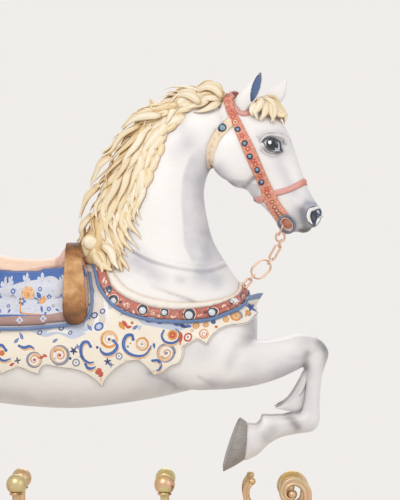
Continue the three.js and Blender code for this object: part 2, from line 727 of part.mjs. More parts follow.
/** A ring of the rein: flat in side view, or edge-on to it, tilted `tilt` up from level. */
function ring({ x, y, z, long, wide, wire, tilt }, edgeOn = false, bends = 4, sides = 4) {
  const made = hoop(long, wide, wire, bends, sides);
  if (edgeOn) made.rotateX(Math.PI / 2);
  return solid(made.rotateY(-tilt).translate(x, y, z));
}

for (const side of SIDES) {
  const add = (name, made, material) => fittings.push({ name: `${name}_${sideName(side)}`, made, material });
  add("bit_ring", ring({ ...BIT, y: side * BIT.y }, false, 6, 5), DARK_IRON);
  for (let i = 0; i + 1 < REIN.length; i++) {
    const [from, to] = [REIN[i], REIN[i + 1]];
    const [dx, dz] = [to.x - from.x, to.z - from.z];
    const [length, tilt] = [Math.hypot(dx, dz), Math.atan2(-dz, -dx)];
    const [start, end] = [i ? HOLD : HOLD + 1.6, i + 2 < REIN.length ? HOLD : 0];
    const middle = (start + length - end) / 2 / length;
    const place = { x: from.x + dx * middle, y: (side * (from.y + to.y)) / 2, z: from.z + dz * middle };
    const long = (length - start - end) / 2;
    add(`rein_${from.name}`, ring({ ...place, long, wide: from.wide, wire: WIRE, tilt }), ROSE_GOLD);
    const before = REIN[i - 1] ?? BIT;
    const turn = Math.atan2(before.z - to.z, before.x - to.x);
    const size = i ? CONNECTOR : TOP_CONNECTOR;
    add(
      `rein_connector_${i + 1}`,
      ring({ x: from.x, y: side * from.y, z: from.z, ...size, tilt: turn }, true, 3),
      ROSE_GOLD,
    );
  }
}

// ---- The plinth and its gilded ornaments -----------------------------------------------------------------
/** A rectangle with round corners, in plan. */
function roundedPlan(length, width, corner) {
  const [x, y] = [length / 2 - corner, width / 2 - corner];
  const shape = new THREE.Shape();
  shape.absarc(x, y, corner, 0, Math.PI / 2);
  shape.absarc(-x, y, corner, Math.PI / 2, Math.PI);
  shape.absarc(-x, -y, corner, Math.PI, 1.5 * Math.PI);
  shape.absarc(x, -y, corner, 1.5 * Math.PI, 2 * Math.PI);
  return shape;
}
const slab = (shrink, low, high) =>
  solid(
    new THREE.ExtrudeGeometry(
      roundedPlan(PLINTH.length - 2 * shrink, PLINTH.width - 2 * shrink, PLINTH.corner - shrink),
      { depth: high - low, bevelEnabled: false, curveSegments: 4 },
    ).translate(0, 0, low),
  );
const plinth = join([
  slab(0, 0, PLINTH.height * 0.6),
  slab(PLINTH.step, PLINTH.height * 0.5, PLINTH.height),
]);

const FLOOR = PLINTH.height + GAP;
const SCROLL = { x: 597, z: 156, r: 57, bead: 12, y: 168, thick: 20 };

/** A gilded scroll: a large volute, whose stem runs back along the plinth and up to a small curl. */
function scroll() {
  const turns = Array.from({ length: 9 }, (_, i) => {
    const t = i / 8;
    const angle = Math.PI * (1.5 + 2.2 * (1 - t));
    const r = 12 + 30 * t;
    return new THREE.Vector3(SCROLL.x + r * Math.cos(angle), 0, SCROLL.z + r * Math.sin(angle));
  });
  const stem = [
    [560, 92],
    [520, 80],
    [486, 98],
    [464, 138],
    [462, 176],
    [473, 196],
  ].map(([x, z]) => new THREE.Vector3(x, 0, z));
  const path = [...turns.slice(0, -1), ...stem];
  const curve = new THREE.CatmullRomCurve3(path);
  const steps = 12;
  const rings = Array.from({ length: steps + 1 }, (_, k) => {
    const t = k / steps;
    const along = curve.getTangent(t);
    const inPlane = new THREE.Vector3(along.z, 0, -along.x);
    const r = THREE.MathUtils.lerp(15, 9, Math.abs(t - 0.5) * 2);
    return Array.from({ length: 4 }, (_, i) => {
      const a = (2 * Math.PI * (i + 0.5)) / 4;
      return curve
        .getPoint(t)
        .addScaledVector(inPlane, r * Math.cos(a))
        .add(new THREE.Vector3(0, SCROLL.thick * Math.sin(a), 0));
    });
  });
  const tube = solid(skin(rings, curve.getPoint(0), curve.getPoint(1)));
  const parts = [
    tube,
    bulge(477, 0, 201, SCROLL.bead, 16, SCROLL.bead),
    bulge(590, 0, 84, 62, 24, 30),
  ];
  return join(parts).intersect(between(FLOOR, 400));
}

const BALL = { x: 219, top: 222, r: 31 };
/** A ball finial on a turned foot. */
const finial = () =>
  solid(
    new THREE.LatheGeometry(
      [
        [0, FLOOR],
        [34, FLOOR],
        [34, FLOOR + 12],
        [14, FLOOR + 30],
        [12, 166],
        [24, 171],
        [BALL.r, 191],
        [24, 211],
        [0, BALL.top],
      ].map((p) => new THREE.Vector2(...p)),
      8,
    )
      .rotateX(Math.PI / 2),
  );

// ---- The carving, all in one -----------------------------------------------------------------------------
const bareHorse = join([
  ...bodyForms(0),
  ...neckForms(0),
  ...headForms(0),
  ...foreForms(0),
  ...hindForms(0),
  ...SIDES.flatMap((side) => [
    loft(forehoof(side), 8),
    loft(foreFeather(side), 6),
    bulge(EYE.x, side * 52, EYE.z + 6, 36, 22, 27, 0.5),
    bulge(661, side * 26, 984, 26, 18, 34, -0.3),
  ]),
]);
const nostrils = SIDES.map((side) => bulge(662, side * 46, 986, 14, 16, 21, -0.2));
const trappings = [saddle, cloth, collar, flare, straps, throatLatch];
const hair = [mane, forelock, tail];
const carved = join([bareHorse, ...trappings, ears, ...hair, knob]).subtract(
  join([...nostrils, ...sockets]),
);

// ---- The leather strap over the pommel -------------------------------------------------------------------
const STRAP_EDGE = outline(
  [
    [-33, 960], [-30, 850], [-23, 785], [-18, 735], [-16, 706],
    [-24, 676], [-46, 666], [-68, 674], [-82, 700],
  ],
  [[-82, 700], [-84, 740], [-82, 800], [-77, 850], [-75, 960]],
);
const underStrap = (out) => join([...seatForms(out), ...bodyForms(SADDLE + out), ...neckForms(out)]);
const leather = underStrap(LEATHER + GAP)
  .intersect(across(STRAP_EDGE))
  .subtract(underStrap(GAP))
  .subtract(knobForm(GAP));

// ---- The object ------------------------------------------------------------------------------------------
const model = new THREE.Group();
model.add(piece("horse", carved, WHITE_PAINT));
for (const { name, made, material } of fittings) model.add(piece(name, made, material));
model.add(piece("pommel_strap", leather, LEATHER_BROWN));
model.add(piece("base", plinth, CREAM_PAINT));
for (const side of SIDES)
  for (const end of [-1, 1]) {
    const place = `${sideName(side)}_${end < 0 ? "rear" : "front"}`;
    const volute = piece(`base_scroll_${place}`, scroll(), GILT);
    volute.position.y = side * SCROLL.y;
    volute.rotation.z = end < 0 ? Math.PI : 0;
    const ball = piece(`base_finial_${place}`, finial(), GILT);
    ball.position.set(end * BALL.x, side * SCROLL.y, 0);
    model.add(volute, ball);
  }
export default model;
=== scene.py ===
# %% [markdown]
# # A carved and painted carousel horse
#
# A prancer from a carousel: a white horse with a golden mane, carved in wood and painted by hand, whose
# hind hooves stand on a low plinth with gilded scrolls. This lesson builds its fine surface over a packed
# model that already has its sizes. Everything is in metres, +Z up. The horse faces +X, and -Y is its right,
# the carved "romance" side that people look at.

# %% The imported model
import json
import math

import bpy
import numpy as np
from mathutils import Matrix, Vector
from mathutils.bvhtree import BVHTree
from mathutils.geometry import delaunay_2d_cdt

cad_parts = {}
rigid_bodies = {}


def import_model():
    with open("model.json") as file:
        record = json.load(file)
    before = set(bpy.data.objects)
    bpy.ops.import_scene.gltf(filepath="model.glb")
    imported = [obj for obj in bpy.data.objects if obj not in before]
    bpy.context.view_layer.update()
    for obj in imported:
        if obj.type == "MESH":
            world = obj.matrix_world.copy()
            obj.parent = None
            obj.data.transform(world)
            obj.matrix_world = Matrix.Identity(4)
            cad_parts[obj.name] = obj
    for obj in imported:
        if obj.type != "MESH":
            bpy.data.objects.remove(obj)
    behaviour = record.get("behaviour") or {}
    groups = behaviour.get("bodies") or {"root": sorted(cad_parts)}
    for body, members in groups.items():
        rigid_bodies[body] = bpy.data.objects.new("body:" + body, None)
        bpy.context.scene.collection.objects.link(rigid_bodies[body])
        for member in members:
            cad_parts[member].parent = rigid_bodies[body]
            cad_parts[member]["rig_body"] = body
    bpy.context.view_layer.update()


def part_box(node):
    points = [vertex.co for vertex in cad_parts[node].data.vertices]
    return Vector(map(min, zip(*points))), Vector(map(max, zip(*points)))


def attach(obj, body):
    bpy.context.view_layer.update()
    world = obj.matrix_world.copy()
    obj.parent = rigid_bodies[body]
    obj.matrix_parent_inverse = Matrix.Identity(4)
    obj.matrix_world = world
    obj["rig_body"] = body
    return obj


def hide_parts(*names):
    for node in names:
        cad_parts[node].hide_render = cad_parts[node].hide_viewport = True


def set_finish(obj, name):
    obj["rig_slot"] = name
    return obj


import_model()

# %% [markdown]
# ## Short names
# The tables below are in millimetres, because a carver's sizes read best that way, and `MM` turns them into
# metres. The two sides are -1, the right, and 1, the left.

# %% Driving sizes
MM = 0.001
SIDES = {-1: "right", 1: "left"}
LEG_OUT = 84  # from the middle plane to the middle of a leg
HIND_STRIDE = 96  # how far forward the left hind hoof is set
CLOTH = 9  # how far the saddle cloth stands off the body
COLLAR = 14  # the same for the breast collar
STRAP = 6  # for the bridle's straps
FLAP = 17  # and for the saddle's flap
PLINTH_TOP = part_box("base")[1][2]
random = np.random.default_rng(11)
print("plinth's top:", PLINTH_TOP)


# %% [markdown]
# ## Ribs
# Each form of the horse is lofted through ribs, which are ellipses across it. A rib is given in side view by
# its two ends, and by its half width. A smooth curve runs through the ribs, so a few of them make a long
# sweeping form, as stations do on a boat.

# %% Ribs
def sweep(path, steps=6):
    """A smooth curve through points of any number of values."""
    path = np.asarray(path, float)
    before, after = np.vstack([path[:1], path[:-1]]), np.vstack([path[1:], path[-1:]])
    slope = (after - before) / 2
    t = np.linspace(0, 1, steps, endpoint=False)[:, None]
    made = []
    for a, b, m, n in zip(path[:-1], path[1:], slope[:-1], slope[1:]):
        made.append(a + t * m + t**2 * (3 * (b - a) - 2 * m - n) + t**3 * (2 * (a - b) + m + n))
    return np.vstack([*made, path[-1:]])


def ribs(table, y=0.0, steps=4):
    """Rows of x, z, depth, normal x, normal z, half width, y and egg, in metres, on a smooth curve."""
    rows = []
    for top_x, top_z, low_x, low_z, half, *egg in table:
        dx, dz = top_x - low_x, top_z - low_z
        deep = math.hypot(dx, dz) / 2
        middle = ((top_x + low_x) / 2, (top_z + low_z) / 2)
        rows.append((*middle, deep, dx / deep / 2, dz / deep / 2, half, y, *(egg or [0])))
    rows = np.array(rows)
    rows[:, [0, 1, 2, 5, 6]] *= MM
    made = sweep(rows, steps)
    made[:, 3:5] /= np.linalg.norm(made[:, 3:5], axis=1, keepdims=True)
    return made


def around(sides):
    """Angles evenly round a ring."""
    return np.linspace(0, 2 * np.pi, sides, endpoint=False)


def headings(path):
    """Unit directions along a path."""
    ahead = np.gradient(np.asarray(path, float), axis=0)
    return ahead / np.linalg.norm(ahead, axis=1)[:, None]


def on_rib(row, angle, out=0.0):
    """Points of a rib at angles from its top end, positive towards +Y, `out` proud of it."""
    c, s = np.cos(angle), np.sin(angle)
    up = (row[2] + out) * c
    across = (row[5] * (1 + row[7] * c) + out) * s
    return np.stack([row[0] + row[3] * up, row[6] + across, row[1] + row[4] * up], axis=-1)


def rib_at(rows, u):
    """The rib at u, which runs from 0 at the first to 1 at the last."""
    place = np.clip(u, 0, 1) * (len(rows) - 1)
    i = min(int(place), len(rows) - 2)
    return rows[i] + (rows[i + 1] - rows[i]) * (place - i)


def rounded_end(row, inner, reach):
    """Shrinking ribs that round off a form beyond `row`, away from `inner`."""
    away = (row[:2] - inner[:2]) / np.linalg.norm(row[:2] - inner[:2])
    made = []
    for share in (0.35, 0.62, 0.82, 0.95):
        small = row.copy()
        small[:2] += away * reach * share
        small[[2, 5]] *= math.sqrt(1 - share**2)
        made.append(small)
    return made


print("points on a swept path:", len(sweep([(0, 0), (1, 1), (2, 0)])))

# %% [markdown]
# Rings of points through the ribs are joined to a closed skin. Blender could skin curves too, but points that
# the script places itself can be measured and pressed later on. Where a form ends, a few shrinking ribs
# round it off.

# %% Skins over ribs
def tube(rings, first=None, last=None):
    """Points and faces of a closed skin over rings of equally many points, and a point at each end, which is
    the middle of the end ring unless it is given."""
    rings = np.asarray(rings)
    count, sides = rings.shape[:2]
    first = rings[0].mean(axis=0) if first is None else first
    last = rings[-1].mean(axis=0) if last is None else last
    points = np.vstack([rings.reshape(-1, 3), [first], [last]])
    i = np.arange(sides)
    j = (i + 1) % sides
    faces = []
    for r in range(count - 1):
        a, b = r * sides, (r + 1) * sides
        faces += np.stack([a + i, a + j, b + j, b + i], axis=1).tolist()
    top = (count - 1) * sides
    faces += np.stack([j, i, np.full(sides, count * sides)], axis=1).tolist()
    faces += np.stack([top + i, top + j, np.full(sides, count * sides + 1)], axis=1).tolist()
    return points, faces


def loft(rows, sides=32, out=0.0, start=0.0, end=0.0):
    """A closed form through ribs, with its ends flat or rounded to `start` and `end` millimetres."""
    rows = list(rows)
    if end:
        rows = rows + rounded_end(rows[-1], rows[-2], end * MM)
    if start:
        rows = rounded_end(rows[0], rows[1], start * MM)[::-1] + rows
    angles = around(sides)
    rings = [on_rib(row, angles, out) for row in rows]
    return tube(rings)


def ball(centre, size, tilt=0.0, rows=12, sides=20):
    """A closed ball squashed to three half sizes in millimetres, turned about Y by `tilt`."""
    lat = np.linspace(0, np.pi, rows + 1)[1:-1]
    lon = around(sides)
    unit = np.stack([np.outer(np.sin(lat), np.cos(lon)), np.outer(np.cos(lat), np.ones(sides)),
                     np.outer(np.sin(lat), np.sin(lon))], axis=-1)
    points, faces = tube(unit, (0, 1, 0), (0, -1, 0))
    points = points * np.array(size) * MM
    c, s = math.cos(tilt), math.sin(tilt)
    leaning = points @ np.array([[c, 0, s], [0, 1, 0], [-s, 0, c]])
    return leaning + np.array(centre) * MM, faces


print("a ball:", len(ball((0, 0, 0), (1, 1, 1))[1]), "faces")

# %% [markdown]
# ## The horse's ribs
# The body, neck, head and legs, in millimetres: x and z of the top or front end, x and z of the low or back
# end, and the half width. The neck is narrower along its crest, so its ribs are egg-shaped.

# %% Rib tables
BODY = ribs([
    [-660, 759, -678, 600, 92], [-612, 804, -618, 522, 132], [-516, 837, -516, 471, 158],
    [-396, 843, -396, 444, 165], [-276, 831, -276, 426, 165], [-156, 825, -156, 414, 162],
    [-36, 843, -36, 411, 162], [84, 867, 99, 426, 162], [219, 849, 219, 447, 158],
    [339, 810, 324, 471, 145], [429, 765, 420, 489, 124], [477, 723, 471, 549, 86],
])
NECK = ribs([
    [-12, 849, 474, 675, 138, -0.2], [-3, 897, 453, 765, 126, -0.25], [15, 960, 402, 846, 111, -0.3],
    [42, 1035, 363, 915, 99, -0.35], [78, 1125, 342, 999, 87, -0.35], [129, 1215, 336, 1059, 78, -0.35],
    [198, 1287, 345, 1104, 70, -0.3], [279, 1335, 366, 1140, 63, -0.25], [360, 1356, 402, 1161, 60, -0.15],
])
HEAD = ribs([
    [432, 1359, 360, 1263, 51], [510, 1323, 363, 1179, 63], [564, 1278, 384, 1119, 72, 0.05],
    [594, 1224, 423, 1077, 70, 0.05], [610, 1179, 462, 1066, 60], [627, 1128, 483, 1041, 50],
    [645, 1077, 510, 1017, 45], [668, 1035, 534, 993, 43], [684, 1008, 561, 957, 44],
    [687, 987, 603, 939, 38],
])
SEAT = ribs([
    [-429, 858, -429, 700, 70], [-408, 904, -414, 660, 108], [-384, 930, -390, 650, 126],
    [-348, 904, -354, 640, 131], [-294, 866, -294, 640, 134], [-210, 849, -210, 640, 134],
    [-126, 848, -126, 640, 134], [-88, 855, -88, 640, 132], [-68, 884, -68, 645, 124],
    [-36, 888, -36, 655, 116], [-14, 860, -14, 690, 92],
])
FORELEG = [
    [240, 645, 204, 507, 60], [324, 675, 279, 471, 72], [408, 660, 369, 468, 75], [474, 621, 444, 474, 69],
    [528, 615, 498, 483, 60], [579, 624, 558, 502, 51], [624, 634, 615, 528, 45], [678, 621, 633, 540, 42],
    [708, 579, 636, 546, 40], [699, 546, 636, 519, 36], [687, 501, 634, 489, 30], [682, 450, 633, 444, 27],
    [681, 411, 627, 411, 28], [681, 375, 618, 396, 34], [663, 346, 600, 398, 34], [618, 338, 576, 392, 32],
    [570, 328, 546, 387, 28], [528, 306, 516, 381, 30], [498, 276, 492, 363, 38], [465, 261, 468, 366, 42],
    [452, 262, 460, 362, 40],
]
HINDLEG = [
    [-411, 735, -630, 747, 72], [-360, 630, -684, 660, 81], [-330, 540, -690, 579, 81],
    [-342, 465, -672, 501, 72], [-411, 408, -657, 435, 57], [-492, 372, -654, 393, 45],
    [-546, 336, -669, 360, 39], [-564, 291, -657, 306, 36], [-564, 249, -630, 255, 30],
    [-552, 189, -612, 189, 28], [-531, 147, -609, 138, 36], [-501, 120, -573, 102, 33],
    [-480, 105, -570, 96, 40], [-476, 92, -570, 86, 42],
]
print("ribs of body, neck and head:", len(BODY), len(NECK), len(HEAD))

# %% [markdown]
# The forelegs are folded alike. The left hind hoof is set further forward than the right, as on a horse that
# springs, so its ribs are slid forward more and more from the hip down.

# %% Legs
def strided(table, stride):
    """A leg's table with what is below its hip moved forward, more towards the hoof."""
    def on(z):
        t = min(max((760 - z) / 560, 0), 1)
        return stride * t * t * (3 - 2 * t)

    return [[tx + on(tz), tz, bx + on(bz), bz, half] for tx, tz, bx, bz, half in table]


def foreleg(side):
    return ribs(FORELEG, y=side * LEG_OUT)


def hindleg(side):
    return ribs(strided(HINDLEG, HIND_STRIDE if side > 0 else 0), y=side * LEG_OUT)


print("ribs of a foreleg and a hind leg:", len(foreleg(1)), len(hindleg(1)))


# %% [markdown]
# ## Node groups
# A painted carving has few kinds of surface, so what they share is kept in node groups: strokes of a brush,
# a soft wash of a second colour, used for painted shade, and dust that settles in hollows together with
# painted shade in the same hollows. Each material then joins some of them in front of its own shader.

# %% Node group helpers
def nodes_of(tree):
    """A maker of nodes in a tree: its type, its settings, and what feeds each of its inputs."""
    def add(kind, feeds=(), **settings):
        node = tree.nodes.new("ShaderNode" + kind)
        for key, value in settings.items():
            setattr(node, key, value)
        for key, value in dict(feeds).items():
            if isinstance(value, bpy.types.NodeSocket):
                tree.links.new(value, node.inputs[key])
            else:
                node.inputs[key].default_value = value
        return node

    return add


def ramp(add, value, *stops):
    """A colour or a grey that changes with `value` at the stops (place, colour)."""
    node = add("ValToRGB", {"Fac": value})
    elements = node.color_ramp.elements
    while len(elements) < len(stops):
        elements.new(0.5)
    for element, (place, colour) in zip(elements, stops):
        element.position = place
        element.color = (*colour, 1) if isinstance(colour, tuple) else (colour, colour, colour, 1)
    return node.outputs["Color"]


def mixed(add, factor, one, two, blend="MIX"):
    """One colour into another by a factor."""
    node = add("Mix", data_type="RGBA", blend_type=blend, clamp_factor=True)
    for socket, value in ((0, factor), (6, one), (7, two)):
        if isinstance(value, bpy.types.NodeSocket):
            node.id_data.links.new(value, node.inputs[socket])
        else:
            node.inputs[socket].default_value = value if socket == 0 else (*value[:3], 1)
    return node.outputs[2]


def calc(add, operation, one, two=0.0):
    """A sum, product or other value of two."""
    return add("Math", {0: one, 1: two}, operation=operation).outputs[0]


def ranged(add, value, low=0.0, high=1.0, to_low=0.0, to_high=1.0):
    """A value spread from one range to another."""
    feeds = {"Value": value, "From Min": low, "From Max": high, "To Min": to_low, "To Max": to_high}
    return add("MapRange", feeds).outputs[0]


def noise(add, place, scale, detail, rough=0.5):
    """Soft noise of a scale, as a value."""
    feeds = {"Vector": place, "Scale": scale, "Detail": detail, "Roughness": rough}
    return add("TexNoise", feeds).outputs["Fac"]


def group(name, inputs, outputs):
    """An empty shader node group, its maker of nodes, and its inlets and outlet node."""
    tree = bpy.data.node_groups.new(name, "ShaderNodeTree")
    for title, kind, value in inputs:
        socket = tree.interface.new_socket(title, in_out="INPUT", socket_type="NodeSocket" + kind)
        if value is not None:
            socket.default_value = value
    for title, kind in outputs:
        tree.interface.new_socket(title, in_out="OUTPUT", socket_type="NodeSocket" + kind)
    inlet = tree.nodes.new("NodeGroupInput").outputs
    outlet = tree.nodes.new("NodeGroupOutput").inputs
    return tree, nodes_of(tree), inlet, outlet


print("node groups so far:", len(bpy.data.node_groups))

# %% [markdown]
# Brushwork: paint laid on by hand is a little streaky. Stretched noise gives the streaks, a broader noise
# gives the uneven coat, and both come out as a grey to tint with and a height for the bump.

# %% Brushwork
brushwork, add, inlet, outlet = group(
    "Brushwork",
    [("Colour", "Color", (0.8, 0.8, 0.8, 1)), ("Scale", "Float", 30.0), ("Variation", "Float", 0.1)],
    [("Colour", "Color"), ("Height", "Float")],
)
place = add("TexCoord").outputs["Object"]
streaks = add("Mapping", {"Vector": place, "Rotation": (0.4, 0.6, 0.3), "Scale": (1, 4, 9)}).outputs[0]
fine = noise(add, streaks, inlet["Scale"], 5.0)
broad = noise(add, place, 9.0, 3.0)
both = calc(add, "MULTIPLY", calc(add, "ADD", fine, broad), 0.5)
darker = add("HueSaturation", {"Color": inlet["Colour"], "Value": 0.62, "Saturation": 1.15}).outputs[0]
lighter = add("HueSaturation", {"Color": inlet["Colour"], "Value": 1.3, "Saturation": 0.85}).outputs[0]
swing = mixed(add, ranged(add, both, 0.3, 0.7), darker, lighter)
brushwork.links.new(mixed(add, inlet["Variation"], inlet["Colour"], swing), outlet["Colour"])
brushwork.links.new(fine, outlet["Height"])
print("group:", brushwork.name, len(brushwork.nodes), "nodes")

# %% [markdown]
# Wash: a second colour over the first, strongest where a value painted on the mesh says, and broken up by
# noise so that it pools like thin paint.

# %% Wash
wash, add, inlet, outlet = group(
    "Wash",
    [("Colour", "Color", (0.8, 0.8, 0.8, 1)), ("Wash", "Color", (0.5, 0.5, 0.6, 1)),
     ("Amount", "Float", 0.0), ("Strength", "Float", 1.0)],
    [("Colour", "Color")],
)
pool = noise(add, add("TexCoord").outputs["Object"], 14.0, 6.0)
broken = ranged(add, pool, 0.3, 0.7, 0.55, 1.25)
amount = calc(add, "MULTIPLY", calc(add, "MULTIPLY", inlet["Amount"], broken), inlet["Strength"])
wash.links.new(mixed(add, amount, inlet["Colour"], inlet["Wash"]), outlet["Colour"])
print("group:", wash.name, len(wash.nodes), "nodes")

# %% [markdown]
# Dust and painted shade: hollows between carved forms keep a little brown dust and old wax, and the same
# colour is painted shade in them and where ambient occlusion finds the surface shut in. Pointiness finds
# the hollows.

# %% Dust and painted shade
dust_and_shade, add, inlet, outlet = group(
    "Dust",
    [("Colour", "Color", (0.8, 0.8, 0.8, 1)), ("Dust", "Color", (0.2, 0.14, 0.09, 1)),
     ("Strength", "Float", 0.5)],
    [("Colour", "Color")],
)
point = add("NewGeometry").outputs["Pointiness"]
# painted shade: ambient occlusion darkens what is shut in, and pointiness darkens the hollows
hollow = ranged(add, point, 0.5, 0.42)
near = add("AmbientOcclusion", {"Distance": 0.02}, samples=4).outputs["AO"]
occluded_shade = calc(add, "SUBTRACT", 1.0, near)
deep = calc(add, "MULTIPLY", calc(add, "ADD", calc(add, "MULTIPLY", hollow, 0.6), occluded_shade), inlet["Strength"])
dust_and_shade.links.new(mixed(add, deep, inlet["Colour"], inlet["Dust"]), outlet["Colour"])
print("group:", dust_and_shade.name, len(dust_and_shade.nodes), "nodes")


# %% [markdown]
# ## Finishes
# Every finish is a named material with its own shader. `painted` covers the many colours of sign-writer's
# enamel; the others have what sets them apart: gold leaf, leather, iron, glass, and the horse's own white.

# %% Material helpers
def srgb(code):
    """A linear colour from a hexadecimal one."""
    parts = [int(code[i : i + 2], 16) / 255 for i in (0, 2, 4)]
    return tuple(c / 12.92 if c <= 0.04045 else ((c + 0.055) / 1.055) ** 2.4 for c in parts)


def material(name):
    """A new material's maker of nodes and its Principled shader."""
    made = bpy.data.materials.new(name)
    made.use_nodes = True
    made.node_tree.nodes.clear()
    add = nodes_of(made.node_tree)
    shader = add("BsdfPrincipled")
    add("OutputMaterial", {"Surface": shader.outputs[0]})
    return made, add, shader


def use(add, tree, **feeds):
    """A node group in a material."""
    node = add("Group", node_tree=tree)
    for key, value in feeds.items():
        if isinstance(value, bpy.types.NodeSocket):
            node.id_data.links.new(value, node.inputs[key])
        else:
            node.inputs[key].default_value = (*value, 1) if isinstance(value, tuple) else value
    return node.outputs


def set_shader(shader, **values):
    for key, value in values.items():
        socket = shader.inputs[key.replace("_", " ")]
        if isinstance(value, bpy.types.NodeSocket):
            shader.id_data.links.new(value, socket)
        else:
            socket.default_value = (*value, 1) if isinstance(value, tuple) and len(value) == 3 else value


def bumped(add, shader, height, strength, distance):
    bump = add("Bump", {"Height": height, "Strength": strength, "Distance": distance})
    shader.id_data.links.new(bump.outputs[0], shader.inputs["Normal"])


def painted(name, code, variation=0.35, scale=34.0, rough=0.42, dust_and_shade_strength=0.5):
    """Hand-laid enamel of one colour."""
    made, add, shader = material(name)
    coat = use(add, brushwork, Colour=srgb(code), Scale=scale, Variation=variation)
    # dust and painted shade in the hollows
    aged_and_shaded = use(add, dust_and_shade, Colour=coat["Colour"], Strength=dust_and_shade_strength)
    gloss = ranged(add, coat["Height"], to_low=rough - 0.08, to_high=rough + 0.14)
    set_shader(shader, Base_Color=aged_and_shaded["Colour"], Roughness=gloss, Coat_Weight=0.12, Coat_Roughness=0.25)
    bumped(add, shader, coat["Height"], 0.25, 0.0008)
    return made


print("half-bright grey in linear light:", round(srgb("808080")[0], 3))

# %% [markdown]
# The horse is white enamel over a warm ground. Two washes of painted shade lie on it, a lilac grey where the
# forms turn from the light and a brown grey in the deepest folds. Both read values that are stored on the
# mesh, so the painter's hand stays with the form. The hair is one enamel too, but each lock has its own
# tone between pale gold and cream, with painted shade in it.

# %% Enamel of the horse and its hair
def by_value(add, name):
    """A value that the mesh carries at its points."""
    return add("Attribute", attribute_name=name).outputs["Fac"]


def white_enamel():
    made, add, shader = material("white_enamel")
    coat = use(add, brushwork, Colour=srgb("efeae4"), Scale=22.0, Variation=0.08)
    # painted shade: a lilac grey wash, then a brown grey wash, by values stored on the mesh
    lilac = use(add, wash, Colour=coat["Colour"], Wash=srgb("a5a3ac"), Amount=by_value(add, "lilac"))
    brown = use(add, wash, Colour=lilac["Colour"], Wash=srgb("6f6965"), Amount=by_value(add, "brown"))
    # painted shade in a lilac grey, in the hollows and where ambient occlusion finds the surface shut in
    aged_and_shaded = use(add, dust_and_shade, Colour=brown["Colour"], Dust=srgb("8d8790"), Strength=0.75)
    set_shader(shader, Base_Color=aged_and_shaded["Colour"], Roughness=0.42, Coat_Weight=0.2, Coat_Roughness=0.3)
    bumped(add, shader, coat["Height"], 0.2, 0.0012)
    return made


def hair_enamel():
    """Cream and pale gold, by each lock's own tone and the painted shade in it."""
    made, add, shader = material("mane_paint")
    golds = (0.0, srgb("d9b070")), (0.3, srgb("ebd09c")), (0.6, srgb("f4e4bf")), (1.0, srgb("fcf5e2"))
    colour = ramp(add, by_value(add, "tint"), *golds)
    coat = use(add, brushwork, Colour=colour, Scale=40.0, Variation=0.22)
    # dust and painted shade in the hollows, in a darker gold
    aged_and_shaded = use(add, dust_and_shade, Colour=coat["Colour"], Dust=srgb("c99a56"), Strength=0.55)
    set_shader(shader, Base_Color=aged_and_shaded["Colour"], Roughness=0.5, Coat_Weight=0.12, Coat_Roughness=0.35)
    bumped(add, shader, coat["Height"], 0.25, 0.0008)
    return made


WHITE = white_enamel()
HAIR = hair_enamel()
print("enamels:", WHITE.name, HAIR.name)

# %% [markdown]
# The trappings have a sign-writer's palette: cream, three blues, oranges, reds and roses. One function
# makes them all, and it is given the colour and how uneven the coat is.

# %% Palette
CREAM = painted("cream_paint", "f1e6d3", 0.16)
WASH_BLUE = painted("pale_blue_paint", "c3c8d6", 0.4)
BLUE = painted("blue_paint", "4068ab", 0.6)
DEEP_BLUE = painted("deep_blue_paint", "2b3f6e", 0.4)
ORANGE = painted("orange_paint", "dd9440", 0.4)
PEACH = painted("peach_paint", "e6bb8e", 0.35)
RED = painted("red_paint", "c4553f", 0.4)
DARK_RED = painted("dark_red_paint", "8e3a30", 0.4)
CORAL = painted("coral_paint", "dd8f74", 0.4)
PINK = painted("pink_paint", "dd9c90", 0.35)
BRICK = painted("brick_paint", "bb7263", 0.45)
GREY = painted("grey_paint", "8c92a0", 0.4)
ROSE = painted("rose_paint", "dfb49f", 0.4)
PALE_ROSE = painted("pale_rose_paint", "f3d0b5", 0.3)
TAUPE = painted("taupe_paint", "a9857c", 0.4)
SOFT_WHITE = painted("soft_white_paint", "efe9e2", 0.2)
NAVY = painted("navy_paint", "27405a", 0.3)
HOOF = painted("hoof_paint", "a09a93", 1.0, 46.0, 0.5)
STONE = painted("plinth_paint", "e9dfcd", 0.3, 20.0, 0.5)
print("finishes:", len(bpy.data.materials))

# %% [markdown]
# ## Pieces
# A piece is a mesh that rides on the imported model's body. The helpers join shapes, measure them, and melt
# overlapping forms into one skin, the way a carver rounds one form into the next.

# %% Mesh helpers
def weld(*shapes):
    """Several shapes, each (points, faces), as one."""
    points, faces, base = [], [], 0
    for own_points, own_faces, *_ in shapes:
        points.append(np.asarray(own_points, float))
        faces += [[i + base for i in face] for face in own_faces]
        base += len(own_points)
    return np.vstack(points), faces


def piece(name, shape, finishes, slot="horse", stands_for=(), which=None, smooth=True, **values):
    """A visible mesh; `which` gives each face its finish, and `values` are numbers at its points."""
    points, faces = shape
    mesh = bpy.data.meshes.new(name)
    mesh.from_pydata(np.asarray(points).tolist(), [], faces)
    for finish in finishes if isinstance(finishes, (list, tuple)) else [finishes]:
        mesh.materials.append(finish)
    if which is not None:
        mesh.polygons.foreach_set("material_index", np.asarray(which, np.int32))
    mesh.polygons.foreach_set("use_smooth", np.full(len(mesh.polygons), smooth))
    for key, value in values.items():
        value = np.array(np.broadcast_to(value, len(points)), np.float32)
        mesh.attributes.new(key, "FLOAT", "POINT").data.foreach_set("value", value)
    mesh.update()
    made = bpy.data.objects.new(name, mesh)
    bpy.context.scene.collection.objects.link(made)
    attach(made, "root")
    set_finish(made, slot)
    if stands_for:
        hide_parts(*stands_for)
    return made


def normals(points, faces):
    """Smooth outward directions at a mesh's points."""
    mesh = bpy.data.meshes.new("measured")
    mesh.from_pydata(np.asarray(points).tolist(), [], faces)
    made = np.zeros(len(points) * 3)
    mesh.vertex_normals.foreach_get("vector", made)
    bpy.data.meshes.remove(mesh)
    return made.reshape(-1, 3)


